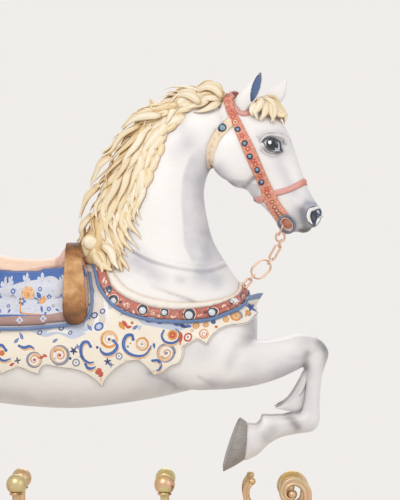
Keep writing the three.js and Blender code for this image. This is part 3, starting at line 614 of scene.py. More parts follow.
def melt(shapes, voxel, rounds):
    """One closed skin over overlapping forms, smoothed so that they flow into each other."""
    points, faces = weld(*shapes)
    mesh = bpy.data.meshes.new("melt")
    mesh.from_pydata(points.tolist(), [], faces)
    block = bpy.data.objects.new("melt", mesh)
    bpy.context.scene.collection.objects.link(block)
    remesh = block.modifiers.new("Remesh", "REMESH")
    remesh.mode, remesh.voxel_size = "VOXEL", voxel
    smoother = block.modifiers.new("Smooth", "SMOOTH")
    smoother.factor, smoother.iterations = 0.5, rounds
    done = block.evaluated_get(bpy.context.evaluated_depsgraph_get()).to_mesh()
    made = np.zeros(len(done.vertices) * 3)
    done.vertices.foreach_get("co", made)
    skin = made.reshape(-1, 3), [list(p.vertices) for p in done.polygons]
    bpy.data.objects.remove(block)
    return skin


def gap_to(points, path):
    """How far flat points are from a path."""
    gap = np.full(len(points), 9e3)
    for a, b in zip(path[:-1], path[1:]):
        run = b - a
        t = np.clip(((points - a) @ run) / max(run @ run, 1e-12), 0, 1)
        gap = np.minimum(gap, np.linalg.norm(points - a - t[:, None] * run, axis=1))
    return gap


def nearness(points, path, width):
    """How near points are in side view to a path of x, z in mm: 1 on it, and fading over `width` mm."""
    gap = gap_to(points[:, [0, 2]], sweep(path, 8) * MM)
    return np.exp(-((gap / (width * MM)) ** 2))


print("two balls in one:", len(weld(*[ball((0, 0, x), (9, 9, 9)) for x in (0, 9)])[1]), "faces")

# %% [markdown]
# ## The bare horse
# Two skins: the body with its legs, and the neck with the head. They overlap under the collar, where the
# real carving has a glued joint as well. Creases are pressed in afterwards along paths in side view, and
# values for the grey and brown washes of painted shade are set on the points.

# %% Body and legs
PASTERN = [[498, 276, 492, 363, 34], [466, 259, 470, 366, 41], [450, 257, 459, 366, 42]]
ERGOT = [[566, 393, 560, 345, 22], [534, 391, 528, 342, 22], [509, 394, 503, 348, 20]]
torso_forms = [loft(BODY, 48, start=18, end=24)]
for side in SIDES:
    torso_forms += [loft(foreleg(side), 28, start=30, end=4), loft(hindleg(side), 28, start=46)]
    torso_forms += [loft(ribs(table, side * LEG_OUT), 24) for table in (PASTERN, ERGOT)]
    torso_forms += [ball((-470, side * 84, 640), (150, 92, 140)), ball((330, side * 78, 590), (120, 84, 110))]
torso_points, torso_faces = melt(torso_forms, 0.0055, 9)
print("torso:", len(torso_faces), "faces")

# %% [markdown]
# The head has the finest forms, so its skin is melted with a smaller voxel. Round cheeks, brows, nostrils
# and a lower lip go on as balls. The chest is in this skin as well, a hair's breadth larger, so that the
# neck flows into it without a seam above the collar.

# %% Neck and head
head_forms = [loft(NECK, 56, end=20), loft(HEAD, 44, start=20, end=12), loft(BODY[24:], 48, 0.0015, end=24)]
head_forms += [ball((637, 0, 953), (24, 24, 17), 0.25)]
for side in SIDES:
    head_forms += [ball((441, side * 47, 1170), (88, 30, 84), rows=20, sides=32)]
    head_forms += [ball((540, side * 50, 1205), (38, 22, 29), 0.5)]
    head_forms += [ball((661, side * 26, 984), (27, 19, 35), -0.3)]
    head_forms += [loft(foreleg(side)[:17], 28, 0.0015, start=30)]
    head_forms += [ball((330, side * 78, 590), (121.5, 85.5, 111.5))]
head_points, head_faces = melt(head_forms, 0.0038, 9)
print("head before the joint:", len(head_faces), "faces")

# %% [markdown]
# Below the collar the neck's skin sinks inside the body's, so that the joint is hidden, and what lies deep
# in the body is dropped. The joint is a line in side view.

# %% Joint of the neck
JOIN = np.array([(-90, 1000), (-50, 930), (-20, 880), (24, 810), (46, 770), (72, 738), (105, 716), (154, 702),
                 (214, 693), (275, 692), (335, 696), (395, 713), (441, 735), (480, 756), (560, 756)])


def above_join(points):
    """How far points lie above the joint's line in side view, in mm."""
    flat = points[:, [0, 2]] / MM
    gap, sign = np.full(len(flat), 9e3), np.ones(len(flat))
    for a, b in zip(JOIN[:-1], JOIN[1:]):
        run = b - a
        t = np.clip(((flat - a) @ run) / (run @ run), 0, 1)
        away = flat - a - t[:, None] * run
        far = np.linalg.norm(away, axis=1)
        nearer = far < gap
        gap = np.where(nearer, far, gap)
        sign = np.where(nearer, np.sign(run[0] * away[:, 1] - run[1] * away[:, 0]), sign)
    return gap * sign


height = above_join(head_points)
sunk = np.clip((4 - height) / 20, 0, 1)
head_points -= normals(head_points, head_faces) * (sunk**2 * (3 - 2 * sunk) * 14 * MM)[:, None]
kept = [face for face in head_faces if height[face].max() > -40]
used = np.unique(np.concatenate([np.asarray(face) for face in kept]))
renumber = np.full(len(head_points), -1)
renumber[used] = np.arange(len(used))
head_points, head_faces = head_points[used], [[int(renumber[i]) for i in face] for face in kept]
print("neck and head:", len(head_faces), "faces")


# %% [markdown]
# Creases are V-shaped, with a soft swelling on one side, so that they read as folds of skin over muscle.

# %% Creases
def crease(points, faces, path, depth, width):
    """Presses a fold of `depth` mm into the points near a path, on the flanks alone."""
    facing = normals(points, faces)
    weight = nearness(points, path, width)
    flank = np.abs(facing[:, 1]) > 0.25
    points -= facing * (weight * flank * depth * MM)[:, None]


TORSO_FOLDS = [  # path, depth and width: elbow, belly, stifle, haunch and hock
    ([(177, 516), (219, 495), (264, 474), (330, 462)], 5, 9),
    ([(321, 504), (345, 488), (366, 477)], 4, 8),
    ([(474, 615), (447, 585), (429, 555), (408, 519)], 2.5, 15),
    ([(600, 560), (640, 566), (672, 590)], 3, 9),
    ([(-300, 500), (-330, 560), (-372, 640), (-420, 720)], 6, 12),
    ([(-560, 700), (-600, 640), (-610, 560)], 4, 14),
    ([(-596, 400), (-560, 372), (-540, 350)], 3, 8),
]
HEAD_FOLDS = [  # the ridge at the neck's base, the jaw, the mouth, the cheekbone and the eye
    ([(93, 915), (128, 885), (174, 861), (249, 840), (324, 831), (369, 837), (402, 849)], -3.4, 5.5),
    ([(95, 906), (130, 876), (177, 851), (250, 830), (325, 821), (372, 827), (405, 840)], 1.6, 5),
    ([(456, 1071), (470, 1088), (486, 1101)], 3, 7),
    ([(372, 1240), (352, 1190), (356, 1130), (392, 1086), (450, 1078)], 6, 9),
    ([(606, 946), (630, 943), (654, 948), (672, 957)], 4, 4),
    ([(470, 1190), (500, 1150), (540, 1090), (580, 1040)], -3, 16),
    ([(560, 1160), (590, 1100), (618, 1050)], 3, 14),
    ([(516, 1186), (530, 1172), (552, 1172), (566, 1184)], 3, 5),
    ([(508, 1210), (530, 1228), (560, 1226), (574, 1210)], 3, 5),
]
for fold in TORSO_FOLDS:
    crease(torso_points, torso_faces, *fold)
for fold in HEAD_FOLDS:
    crease(head_points, head_faces, *fold)
print("creases:", len(TORSO_FOLDS) + len(HEAD_FOLDS))

# %% [markdown]
# The washes are painted shade: strokes of a soft brush along paths in side view, under the belly, in the
# folds and on the muzzle. Each stroke has a width in mm and a strength, and where strokes overlap they add
# up, as thin paint does.

# %% Washes of painted shade
def washed(points, strokes):
    """How much of a wash the points take from all its strokes: path, width, strength."""
    return sum(strength * nearness(points, path, width) for path, width, strength in strokes)


lilac_torso = washed(torso_points, [
    ([(-660, 640), (-500, 500), (-300, 452), (-100, 428), (60, 428), (200, 456)], 40, 0.4),
    ([(190, 520), (264, 474), (330, 466)], 24, 0.4),
    ([(-560, 640), (-640, 560)], 60, 0.4),
    ([(360, 486), (440, 478), (540, 506), (620, 540)], 26, 0.5),
    ([(470, 560), (560, 570), (640, 590)], 60, 0.22),
    ([(652, 520), (652, 420)], 26, 0.3),
    ([(480, 320), (560, 360), (640, 366)], 44, 0.3),
    ([(478, 690), (482, 640), (476, 620)], 14, 0.7),
    ([(-600, 420), (-560, 300), (-530, 180)], 26, 0.5),
    ([(250, 610), (330, 590)], 50, 0.25),
    ([(60, 560), (180, 520), (240, 500)], 40, 0.2),
])
brown_torso = washed(torso_points, [
    ([(588, 390), (603, 372), (612, 360)], 13, 0.6),
    ([(538, 352), (520, 328)], 18, 0.3),
    ([(642, 578), (636, 552), (640, 536)], 11, 0.5),
    ([(682, 612), (704, 580), (704, 545)], 17, 0.55),
    ([(650, 618), (700, 598)], 34, 0.22),
    ([(640, 530), (632, 484), (618, 440)], 14, 0.3),
    ([(462, 690), (466, 650), (458, 612)], 17, 0.45),
    ([(432, 600), (410, 545)], 16, 0.2),
    ([(-560, 150), (-540, 110), (-520, 84)], 30, 0.5),
    ([(-640, 400), (-662, 380)], 20, 0.4),
])
lilac_head = washed(head_points, [
    ([(141, 852), (150, 840)], 34, 0.55),
    ([(192, 812), (200, 806)], 26, 0.45),
    ([(338, 925), (348, 870)], 44, 0.7),
    ([(318, 806), (340, 800), (370, 792)], 28, 0.6),
    ([(262, 800), (270, 796)], 14, 0.4),
    ([(250, 1176), (290, 1200)], 30, 0.3),
    ([(380, 1120), (420, 1072), (480, 1040)], 24, 0.7),
    ([(280, 1230), (250, 1290)], 30, 0.35),
    ([(560, 1140), (600, 1060)], 18, 0.35),
    ([(95, 904), (176, 850), (325, 820), (405, 839)], 6, 0.3),
    ([(640, 1030), (618, 990), (600, 962)], 34, 0.5),
    ([(632, 1000), (640, 962), (672, 952)], 18, 0.7),
    ([(686, 1018), (692, 985), (680, 952)], 13, 0.9),
    ([(644, 1026), (670, 1022)], 11, 0.6),
    ([(60, 1000), (90, 900)], 40, 0.4),
])
brown_head = washed(head_points, [
    ([(626, 938), (654, 946), (672, 960), (686, 984)], 13, 0.8),
    ([(632, 1004), (634, 980), (638, 956)], 13, 0.65),
    ([(498, 1232), (560, 1236), (592, 1196), (566, 1166)], 17, 0.14),
    ([(612, 1000), (600, 966)], 16, 0.3),
    ([(606, 946), (640, 944)], 5, 0.5),
    ([(512, 1184), (540, 1168), (566, 1182)], 9, 0.8),
    ([(506, 1214), (540, 1226), (574, 1206)], 8, 0.8),
    ([(486, 1101), (456, 1071)], 6, 0.6),
    ([(470, 1010), (540, 1000)], 12, 0.3),
])

# The front of the neck is shaded in one broad stroke with a clean edge behind it.
head_x, head_z = head_points[:, 0] / MM, head_points[:, 2] / MM
shade_edge = np.interp(head_z, (848, 897, 985, 1051, 1108, 1161, 1230), (296, 272, 267, 263, 269, 287, 330))
past_edge = np.clip((head_x - shade_edge) / 9, 0, 1)
heights = np.clip((head_z - 836) / 20, 0, 1) * np.clip((1215 - head_z) / 60, 0, 1)
front_only = head_x < np.interp(head_z, (1080, 1110, 1240), (500, 362, 372))
lilac_head = np.maximum(lilac_head, 0.48 * past_edge * heights * front_only)
print("most of a wash:", lilac_head.max().round(2), brown_head.max().round(2))

# %% [markdown]
# The rim of a nostril is a soft ring, and the hollow inside it is pushed in and darkened with the brown
# wash as painted shade. It moves points of the skin itself, because a carver cuts it into the same wood.
# Then both skins become pieces.

# %% Nostrils and the finished skins
for side in SIDES:
    flat = (head_points[:, [0, 2]] - np.array([664, 986]) * MM) / (np.array([14, 21]) * MM)
    far = np.linalg.norm(flat, axis=1)
    on_side = np.sign(head_points[:, 1]) == side
    hollow = np.exp(-((far / 0.75) ** 4)) * on_side
    rim = np.exp(-(((far - 1.2) / 0.28) ** 2)) * on_side
    head_points[:, 1] -= side * (hollow * 13 - rim * 3) * MM
    # painted shade in the nostril's hollow
    brown_head += hollow * 0.4

piece("torso", (torso_points, torso_faces), WHITE, stands_for=["horse"], lilac=lilac_torso, brown=brown_torso)
piece("neck_and_head", (head_points, head_faces), WHITE, lilac=lilac_head, brown=brown_head)
print("bare horse:", len(torso_faces) + len(head_faces), "faces")

# %% [markdown]
# ## Draping
# Trappings follow the body beneath them. Each is drawn in side view, and each of its points is carried
# inwards until it meets the body. Past a limit near the back, the belly, the chest or the brow, the way in
# turns about a pivot, so that a strap or cloth goes on round the form and meets its other half.

# %% Drape
bare_points, bare_faces = weld((torso_points, torso_faces), (head_points, head_faces))
BARE = BVHTree.FromPolygons(bare_points.tolist(), bare_faces)


def turn_in(value, low, low_reach, high, high_reach):
    """The pivot and the angle for a coordinate: level between the limits, and turning beyond them."""
    past = max(value - high, 0) / high_reach - max(low - value, 0) / low_reach
    easy = max(-0.87, min(0.87, past))
    angle = math.asin(easy) + (past - easy) * 2
    return max(low, min(high, value)), max(-1.6, min(1.6, angle))


class Drape:
    """Carries points of side view, in mm, onto a skin."""

    def __init__(self, tree, origin=(0, 0), along=(1, 0), low=-9e3, high=9e3, reach=(60, 60),
                 front=9e3, chest=90, room=0.4):
        self.tree, self.low, self.high, self.reach = tree, low, high, reach
        self.origin = np.array(origin, float)
        self.along = np.array(along, float) / np.linalg.norm(along)
        self.up = np.array([-self.along[1], self.along[0]])
        self.front, self.chest, self.room = front, chest, room

    def __call__(self, flat, side):
        made = []
        for point in np.asarray(flat, float) - self.origin:
            s, t = point @ self.along, point @ self.up
            high = self.high(s) if callable(self.high) else self.high
            low = -high if callable(self.high) else self.low
            reach = self.reach(s) if callable(self.reach) else self.reach
            t, tilt = turn_in(t, low, reach[0], high, reach[1])
            s, swing = turn_in(s, -9e3, 90, self.front, self.chest)
            pivot = self.origin + s * self.along + t * self.up
            flat_out = math.cos(tilt) * math.sin(swing) * self.along + math.sin(tilt) * self.up
            out = Vector((flat_out[0], side * math.cos(tilt) * math.cos(swing), flat_out[1])).normalized()
            inner = Vector((pivot[0] * MM, 0, pivot[1] * MM))
            hit = self.tree.ray_cast(inner + out * self.room, -out, self.room)[0]
            made.append(hit or self.tree.find_nearest(inner + out * 0.1)[0])
        return np.array(made)


on_body = Drape(BARE, high=775, low=500, reach=(90, 62), front=405, chest=86)
print("a point of the right flank:", on_body([(0, 650)], -1).round(3))

# %% [markdown]
# The head slopes, so its straps are draped square to a line from the poll to the nose, and the limit where
# they turn over the brow and the jaw follows the head's depth.

# %% Drape of the head
HEAD_LINE = ((396, 1311), (645, 963))
head_run = math.dist(*HEAD_LINE)


def head_deep(s):
    return rib_at(HEAD, s / head_run)[2] / MM


def head_reach(s):
    return 0.3 * head_deep(s), 0.3 * head_deep(s)


on_head = Drape(BARE, HEAD_LINE[0], np.subtract(HEAD_LINE[1], HEAD_LINE[0]),
                high=lambda s: 0.7 * head_deep(s), reach=head_reach, room=0.105)
print("skin to drape on:", len(bare_faces), "faces; the head's line:", round(head_run), "mm")


# %% [markdown]
# ## Painted panels
# A panel is a draped shape with thickness, rounded edges and painted ornament. Its outline and its motifs
# are drawn with lines, and a triangulation that keeps all those lines gives each colour its own faces, so
# that the paint has clean edges as a sign-writer's has.

# %% Outlines
def closed(*runs, steps=6):
    """A closed outline from runs of points: a smooth curve through each, and a corner between two."""
    return np.vstack([sweep(run, steps)[:-1] for run in runs])


def even(path, step, close=True):
    """The path with its points about `step` mm apart."""
    path = np.vstack([path, path[:1]]) if close else np.asarray(path)
    made = []
    for a, b in zip(path[:-1], path[1:]):
        count = max(1, round(np.linalg.norm(b - a) / step))
        made += [a + (b - a) * k / count for k in range(count)]
    return np.array(made)


def edge_gap(points, ring):
    """How far points are from a closed ring."""
    return gap_to(points, np.vstack([ring, ring[:1]]))


def leftward(ring):
    """The ring, in the order that keeps its inside on the left."""
    x, z = ring[:, 0], ring[:, 1]
    return ring if (x * np.roll(z, -1) - np.roll(x, -1) * z).sum() > 0 else ring[::-1]


print("a square in even steps:", len(even([(0, 0), (9, 0), (9, 9), (0, 9)], 3)), "points")

# %% [markdown]
# A Delaunay triangulation with constraints keeps every drawn line as an edge. Points on a staggered grid
# fill the inside, so that the panel can bend over the body. A face that lies in several motifs takes the
# colour of the one that was painted last.

# %% Drawing with faces
def draw(edge, motifs, grid):
    """Points, triangles and the colour of each triangle for an outline with motifs, (ring, colour)."""
    ring = even(edge, grid * 0.6)
    low, high = ring.min(axis=0), ring.max(axis=0)
    xs, zs = np.meshgrid(np.arange(low[0], high[0], grid), np.arange(low[1], high[1], grid))
    inner = np.stack([xs.ravel(), zs.ravel()], axis=1)
    inner[:, 0] += grid / 2 * (np.round((inner[:, 1] - low[1]) / grid) % 2)
    inner = inner[edge_gap(inner, ring) > grid * 0.45]
    rings = [leftward(r) for r in [ring] + [np.asarray(motif) for motif, _ in motifs]]
    points = np.vstack([*rings, inner])
    faces, base = [], 0
    for part in rings:
        faces.append(list(range(base, base + len(part))))
        base += len(part)
    flat, _, triangles, _, _, origins = delaunay_2d_cdt([Vector(p) for p in points], [], faces, 1, 1e-4)
    colours = [0] + [colour for _, colour in motifs]
    kept = [(list(tri), colours[max(own)]) for tri, own in zip(triangles, origins) if 0 in own]
    used = sorted({i for tri, _ in kept for i in tri})
    renumber = {old: new for new, old in enumerate(used)}
    flat = np.array([flat[i] for i in used])
    tris = []
    for tri, _ in kept:
        tri = [renumber[i] for i in tri]
        (ax, az), (bx, bz), (cx, cz) = flat[tri]
        tris.append(tri if (bx - ax) * (cz - az) - (bz - az) * (cx - ax) > 0 else tri[::-1])
    return flat, tris, [colour for _, colour in kept], ring


def rims(faces):
    """The edges that only one face has, in that face's order."""
    seen = {}
    for face in faces:
        for a, b in zip(face, face[1:] + face[:1]):
            seen[a, b] = True
    return [(a, b) for a, b in seen if (b, a) not in seen]


drawn_disc = 40 * np.stack([np.cos(around(30)), np.sin(around(30))], axis=1)
print("a drawn disc:", len(draw(drawn_disc, [], 9)[1]), "triangles")

# %% [markdown]
# A drawn panel is then carried onto the skin on both sides, raised by its thickness with a rounded edge
# `soft` mm wide, and walled down to `sunk` mm under the skin so that it never shows a gap.

# %% Panels and cords
def panel(name, edge, motifs, finishes, drape, thick, grid=10, soft=7, sunk=4, carve=None, **given):
    """A draped panel on each side, as one piece."""
    shapes, which = [], []
    flat, tris, colours, ring = draw(edge, motifs, grid)
    gap = edge_gap(flat, ring)
    swell = np.sqrt(1 - (1 - np.clip(gap / soft, 0, 1)) ** 2)
    height = (thick * (0.35 + 0.65 * swell) + (carve(flat) if carve else 0)) * MM
    for side in SIDES:
        faces = tris if side < 0 else [tri[::-1] for tri in tris]
        seated = drape(flat, side)
        out = normals(seated, faces)
        top = seated + out * height[:, None]
        low = seated - out * sunk * MM
        count = len(top)
        walls = [[a, a + count, b + count, b] for a, b in rims(faces)]
        shapes.append((np.vstack([top, low]), faces + walls))
        which += colours + [0] * len(walls)
    return piece(name, weld(*shapes), finishes, which=which, **given)


def cord(path, radius, drape, side, out=0.0, step=6, round_by=8):
    """A round cord laid on a skin along a path in side view; `out` mm is how far its middle stands off."""
    middle = drape(even(sweep(path, 6), step, close=False), side)
    ahead = np.gradient(middle, axis=0)
    nearest = [BARE.find_nearest(Vector(p))[1] for p in middle]
    up = np.array([np.array(n) for n in nearest])
    for _ in range(4):
        up[1:-1] = (up[:-2] + up[1:-1] + up[2:]) / 3
    up -= ahead * ((up * ahead).sum(1) / (ahead * ahead).sum(1))[:, None]
    up /= np.linalg.norm(up, axis=1)[:, None]
    across = np.cross(ahead, up)
    across /= np.linalg.norm(across, axis=1)[:, None]
    middle = middle + up * out * MM
    angles = np.linspace(0, 2 * np.pi, round_by, endpoint=False)
    rings = [
        m + (np.outer(np.cos(angles), u) + np.outer(np.sin(angles), a)) * radius * MM
        for m, u, a in zip(middle, up, across)
    ]
    return tube(rings, middle[0], middle[-1])


print("a short cord:", len(cord([(0, 650), (60, 650)], 3, on_body, -1)[1]), "faces")

# %% [markdown]
# ## Motifs
# The painted ornament is the traditional kind: discs with a spiral in them, C-scrolls, leaves, drops and
# small flowers. Each motif is a list of rings with a colour, which is the number of a paint. The cloth's
# paints have short names too, because its tables name them so often: pale, blue, deep blue, orange, peach,
# red, grey and white.

# %% Motif makers
PALE, B, DB, OR, PE, RE, GR, W = range(1, 9)
# a greyer cream that is painted shade in the wedge between the saddle and the collar
WEDGE_SHADE = painted("wedge_shade_paint", "dccfc4", 0.4)
CLOTH_PAINTS = [CREAM, WASH_BLUE, BLUE, DEEP_BLUE, ORANGE, PEACH, RED, GREY, SOFT_WHITE, WEDGE_SHADE]


def disc(x, z, r, colour, squash=1.0, turn=0.0, count=18):
    """A disc or, with few points, a diamond."""
    a = around(count)
    p = np.stack([np.cos(a) * r, np.sin(a) * r * squash], axis=1)
    c, s = math.cos(turn), math.sin(turn)
    return [(p @ np.array([[c, s], [-s, c]]) + (x, z), colour)]


def ribbon(path, widths, colour, steps=5):
    """A stroke of changing width along a path."""
    rows = sweep(np.column_stack([path, np.broadcast_to(widths, len(path))]), steps)
    ahead = headings(rows[:, :2])
    side = np.stack([-ahead[:, 1], ahead[:, 0]], axis=1) * rows[:, 2:] / 2
    return [(np.vstack([rows[:, :2] + side, (rows[:, :2] - side)[::-1]]), colour)]


def coil(x, z, r, colour, turns=1.6, start=0.0, hand=1, wide=0.2):
    """A spiral stroke that closes in on its middle."""
    t = np.linspace(0, 1, int(10 * turns) + 3)
    a = start + hand * 2 * np.pi * turns * t
    far = r * (1 - 0.86 * t)
    path = np.stack([x + far * np.cos(a), z + far * np.sin(a)], axis=1)
    return ribbon(path, r * wide * (1 - 0.6 * t) + 0.4, colour, 2)


def c_scroll(x, z, r, colour, start=0.0, hand=1, tail=1.0, wide=0.26):
    """A stroke that curls up at its head and runs off into a tapering tail."""
    t = np.linspace(0, 1, 14)
    a = start + hand * 2 * np.pi * (1.25 * t)
    far = r * (0.3 + 0.7 * t**0.8)
    path = np.stack([x + far * np.cos(a), z + far * np.sin(a)], axis=1)
    end = path[-1] + (path[-1] - path[-2]) * 3 * tail
    path = np.vstack([path, end])
    widths = np.append(r * wide * np.sin(np.pi * (0.2 + 0.72 * t)), 0.6)
    return ribbon(path, widths, colour, 2) + disc(*path[0], r * wide * 0.75, colour, count=10)


def leaf(x, z, long, wide, turn, colour, vein=None):
    """A pointed stroke, with a vein if it has a second colour."""
    t = np.linspace(0, 1, 7)
    path = np.stack([x + long * t * math.cos(turn), z + long * t * math.sin(turn)], axis=1)
    made = ribbon(path, wide * np.sin(np.pi * t**0.8) + 0.2, colour, 2)
    if vein is not None:
        made += ribbon(path[1:-1], np.full(5, wide * 0.14), vein, 1)
    return made


def flower(x, z, r, petal, heart, count=5, turn=0.3):
    """Round petals about a heart."""
    made = []
    for k in range(count):
        a = turn + 2 * np.pi * k / count
        made += disc(x + r * 0.58 * math.cos(a), z + r * 0.58 * math.sin(a), r * 0.42, petal, 0.75, a, 10)
    return made + disc(x, z, r * 0.3, heart, count=10)


print("a flower:", len(flower(0, 0, 9, 1, 2)), "motifs")

# %% [markdown]
# ## Saddle cloth
# A cream cloth carved with a deeply scalloped edge, and painted with rosettes between blue and orange
# scrolls. Towards the top, where it goes under the saddle, a blue wash is painted shade.

# %% Saddle cloth
CLOTH_RUNS = [
    [(-462, 900), (-489, 765), (-507, 660), (-501, 585)],
    [(-501, 585), (-480, 555), (-459, 522), (-435, 492)],
    [(-435, 492), (-411, 516), (-372, 531), (-300, 534)],
    [(-300, 534), (-279, 531), (-267, 516)],
    [(-267, 516), (-240, 528), (-210, 537), (-183, 525), (-153, 516)],
    [(-153, 516), (-138, 543), (-96, 537), (-36, 528), (3, 507), (33, 483)],
    [(33, 483), (54, 513), (84, 540), (114, 555), (141, 558)],
    [(141, 558), (162, 540), (186, 516)],
    [(186, 516), (213, 522), (240, 540), (264, 549), (276, 573), (276, 597)],
    [(276, 597), (294, 606), (315, 618)],
    [(315, 618), (345, 603)],
    [(345, 603), (360, 627), (396, 654), (447, 663), (474, 684), (496, 700)],
    [(496, 700), (500, 722)],
    [(500, 722), (420, 722), (354, 697), (291, 691), (234, 691), (174, 697), (117, 715), (75, 740),
     (45, 774), (9, 840)],
    [(9, 840), (-12, 900)],
]
CLOTH_EDGE = closed(*CLOTH_RUNS)
print("cloth's edge:", len(CLOTH_EDGE), "points")

# %% [markdown]
# Three motifs are the cloth's own: hooks painted with one swelling stroke, discs with a bold crescent, and
# clusters of small leaves.

# %% Motifs of the cloth
def hook(points, wide, colour):
    """A brush stroke that swells in its middle, with a round end where it curls."""
    swell = wide * np.sin(np.pi * np.linspace(0.22, 0.9, len(points))) + 0.8
    return ribbon(points, swell, colour, 5) + disc(*points[0], wide * 0.55, colour, count=12)


def target(x, z, r, outer, inner, heart, start=0.0, hand=1):
    """A disc with a bold crescent, a spiral and a heart."""
    made = disc(x, z, r, outer)
    made += disc(x + r * 0.12 * math.cos(start), z + r * 0.12 * math.sin(start), r * 0.82, PE)
    made += disc(x, z, r * 0.66, W) + coil(x, z, r * 0.6, inner, 1.3, start, hand, 0.26)
    return made + disc(x, z, r * 0.16, heart, count=10)


def cluster(x, z, r, colour, count=4, turn=0.0):
    """Small leaves that spread from one point."""
    made = []
    for k in range(count):
        made += leaf(x, z, r, r * 0.42, turn + 2 * math.pi * k / count, colour)
    return made


print("a target:", len(target(0, 0, 20, 1, 2, 3)), "motifs")

# %% [markdown]
# First come pale washes of painted shade under the saddle and the collar, and a greyer wedge of it between
# them, with a few white strokes of painted highlight for folds. They are painted before the ornament, so it
# lies over them.

# %% Painted shade and highlights of the cloth
def cloth_washes():
    # painted shade: a pale blue wash under the saddle, and another under the collar
    made = [(closed([(-520, 690), (-430, 655), (-330, 650), (-211, 652), (-137, 628), (-96, 636), (-52, 622),
                      (-10, 640), (24, 668), (40, 700), (84, 716)], [(84, 716), (30, 860)],
                     [(30, 860), (-300, 905)], [(-300, 905), (-520, 905)], [(-520, 905), (-520, 690)]), PALE)]
    made += [(closed([(130, 700), (150, 668), (200, 656), (262, 646), (300, 664), (360, 672), (420, 694),
                      (452, 720)],
                     [(452, 720), (280, 722)], [(280, 722), (130, 700)]), PALE)]
    # painted shade: the greyer wedge between the saddle and the collar
    made += [(closed([(-26, 830), (-20, 740), (-22, 690), (-4, 660)],
                     [(-4, 660), (30, 650), (46, 690), (34, 760)], [(34, 760), (30, 850)],
                     [(30, 850), (-26, 830)]), 9)]
    # painted highlights: white strokes where the cloth would fold
    for path in [[(-2, 800), (8, 740), (-6, 690), (-16, 655)], [(24, 780), (44, 730), (50, 690), (60, 660)],
                 [(-20, 640), (10, 652), (22, 690)], [(-130, 640), (-100, 648), (-60, 640)]]:
        made += ribbon(path, (3, 11, 11, 2)[: len(path)], W, 4)
    for x, z, r in [(25, 658, 15), (12, 690, 11), (36, 702, 9), (-86, 653, 9), (-150, 640, 8), (-60, 640, 7)]:
        made += disc(x, z, r, B if r > 12 else DB, 0.8, 0.5) + disc(x, z, r * 0.6, PALE, 0.8, 0.5)
    return made


print("washes of the cloth:", len(cloth_washes()), "motifs")

# %% [markdown]
# The ornament is a rhythm of great discs and blue hooks along the edge, with leaves, rings and dots between
# them. Its tables give each one's place and size in mm. A peach stroke lies a little below each hook, as a
# shadow does under raised carving.

# %% Ornament of the cloth
TARGETS = [  # x, z, radius, three paints, the spiral's start and its hand
    (-167, 562, 24, GR, OR, RE, 0.2, 1), (-91, 575, 30, GR, OR, RE, 2.6, -1),
    (55, 621, 26, OR, PE, DB, 1.0, 1), (153, 608, 20, OR, PE, GR, 3.6, 1),
    (224, 582, 29, GR, OR, GR, 3.6, 1), (335, 634, 14, OR, RE, W, 0.4, -1),
    (-318, 590, 27, GR, OR, RE, 2.0, -1), (-420, 586, 24, OR, PE, DB, 0.2, 1),
    (-470, 640, 20, GR, OR, RE, 1, 1),
]
HOOKS = [  # a path and a width
    ([(0, 601), (-8, 613), (-22, 611), (-29, 592), (-24, 568), (-6, 554), (10, 556)], 9),
    ([(-15, 549), (-10, 540), (2, 537), (15, 543)], 8),
    ([(68, 617), (79, 602), (67, 584), (47, 578), (32, 586), (28, 598)], 9),
    ([(126, 622), (122, 634), (106, 631), (97, 611), (103, 590), (128, 575), (160, 577), (180, 604)], 9.5),
    ([(183, 560), (198, 561), (208, 548), (204, 536), (193, 531)], 8),
    ([(216, 646), (210, 632), (219, 616), (240, 611), (258, 620), (262, 640), (250, 652)], 6.5),
    ([(-211, 602), (-196, 597), (-180, 601), (-166, 594)], 8),
    ([(-250, 590), (-262, 604), (-278, 598), (-276, 574), (-258, 560), (-236, 566)], 9),
    ([(-362, 596), (-366, 612), (-382, 612), (-388, 590), (-378, 566), (-352, 556)], 9),
    ([(-446, 566), (-436, 548), (-418, 536), (-400, 548)], 7),
]
LEAVES = [  # x, z, length, width, turn, and the paints of the leaf and of its vein
    (12, 524, 22, 15, 0.3, RE), (20, 538, 20, 14, -0.9, RE), (24, 512, 20, 13, 0.9, RE),
    (-152, 566, 18, 9, 0.4, RE), (-128, 570, 16, 8, 2.6, RE), (266, 644, 38, 13, -1.6, RE),
    (84, 672, 30, 16, -0.9, OR), (94, 676, 28, 11, -0.9, RE), (104, 656, 20, 9, 0.1, RE),
    (124, 650, 22, 9, 0.6, B, PALE), (140, 648, 18, 8, 0.9, PALE), (186, 612, 18, 8, -1.4, B),
    (242, 668, 26, 10, -0.3, B), (262, 664, 26, 10, -0.4, DB), (278, 660, 22, 9, -0.1, B),
    (160, 676, 24, 9, -0.2, B, PALE), (196, 668, 20, 8, 0.1, B), (-300, 560, 18, 8, -0.8, RE),
    (-344, 566, 18, 9, 2.4, RE), (-400, 616, 22, 10, 0.5, RE, OR), (-486, 606, 24, 9, 1.2, B),
    (30, 500, 12, 5, 1.57, PE), (186, 527, 8, 4, 1.57, PE), (-436, 512, 16, 8, 1.5, RE),
    (-240, 545, 18, 8, 0.5, RE), (-226, 610, 22, 9, 0.8, B, PALE), (-284, 630, 24, 10, 0.6, B, PALE),
    (-344, 632, 24, 10, 2.2, B, PALE), (-200, 620, 24, 9, 2.0, B, PALE), (4, 646, 22, 9, 2.2, B, PALE),
    (-112, 612, 20, 8, 0.6, B, PALE), (86, 690, 18, 7, 0.5, PALE),
]
CLUSTERS = [  # x, z, radius, paint, count and turn
    (50, 557, 12, DB, 5, 0.4), (60, 548, 9, B, 4, 0.0), (-50, 588, 13, DB, 5, 0.9), (-38, 600, 9, B, 4, 0.3),
    (469, 710, 17, B, 5, 0.3), (469, 710, 10, DB, 5, 0.9), (-300, 615, 11, DB, 5, 0.4),
    (-216, 560, 11, DB, 4, 0.2), (-400, 660, 12, B, 5, 0.2),
]
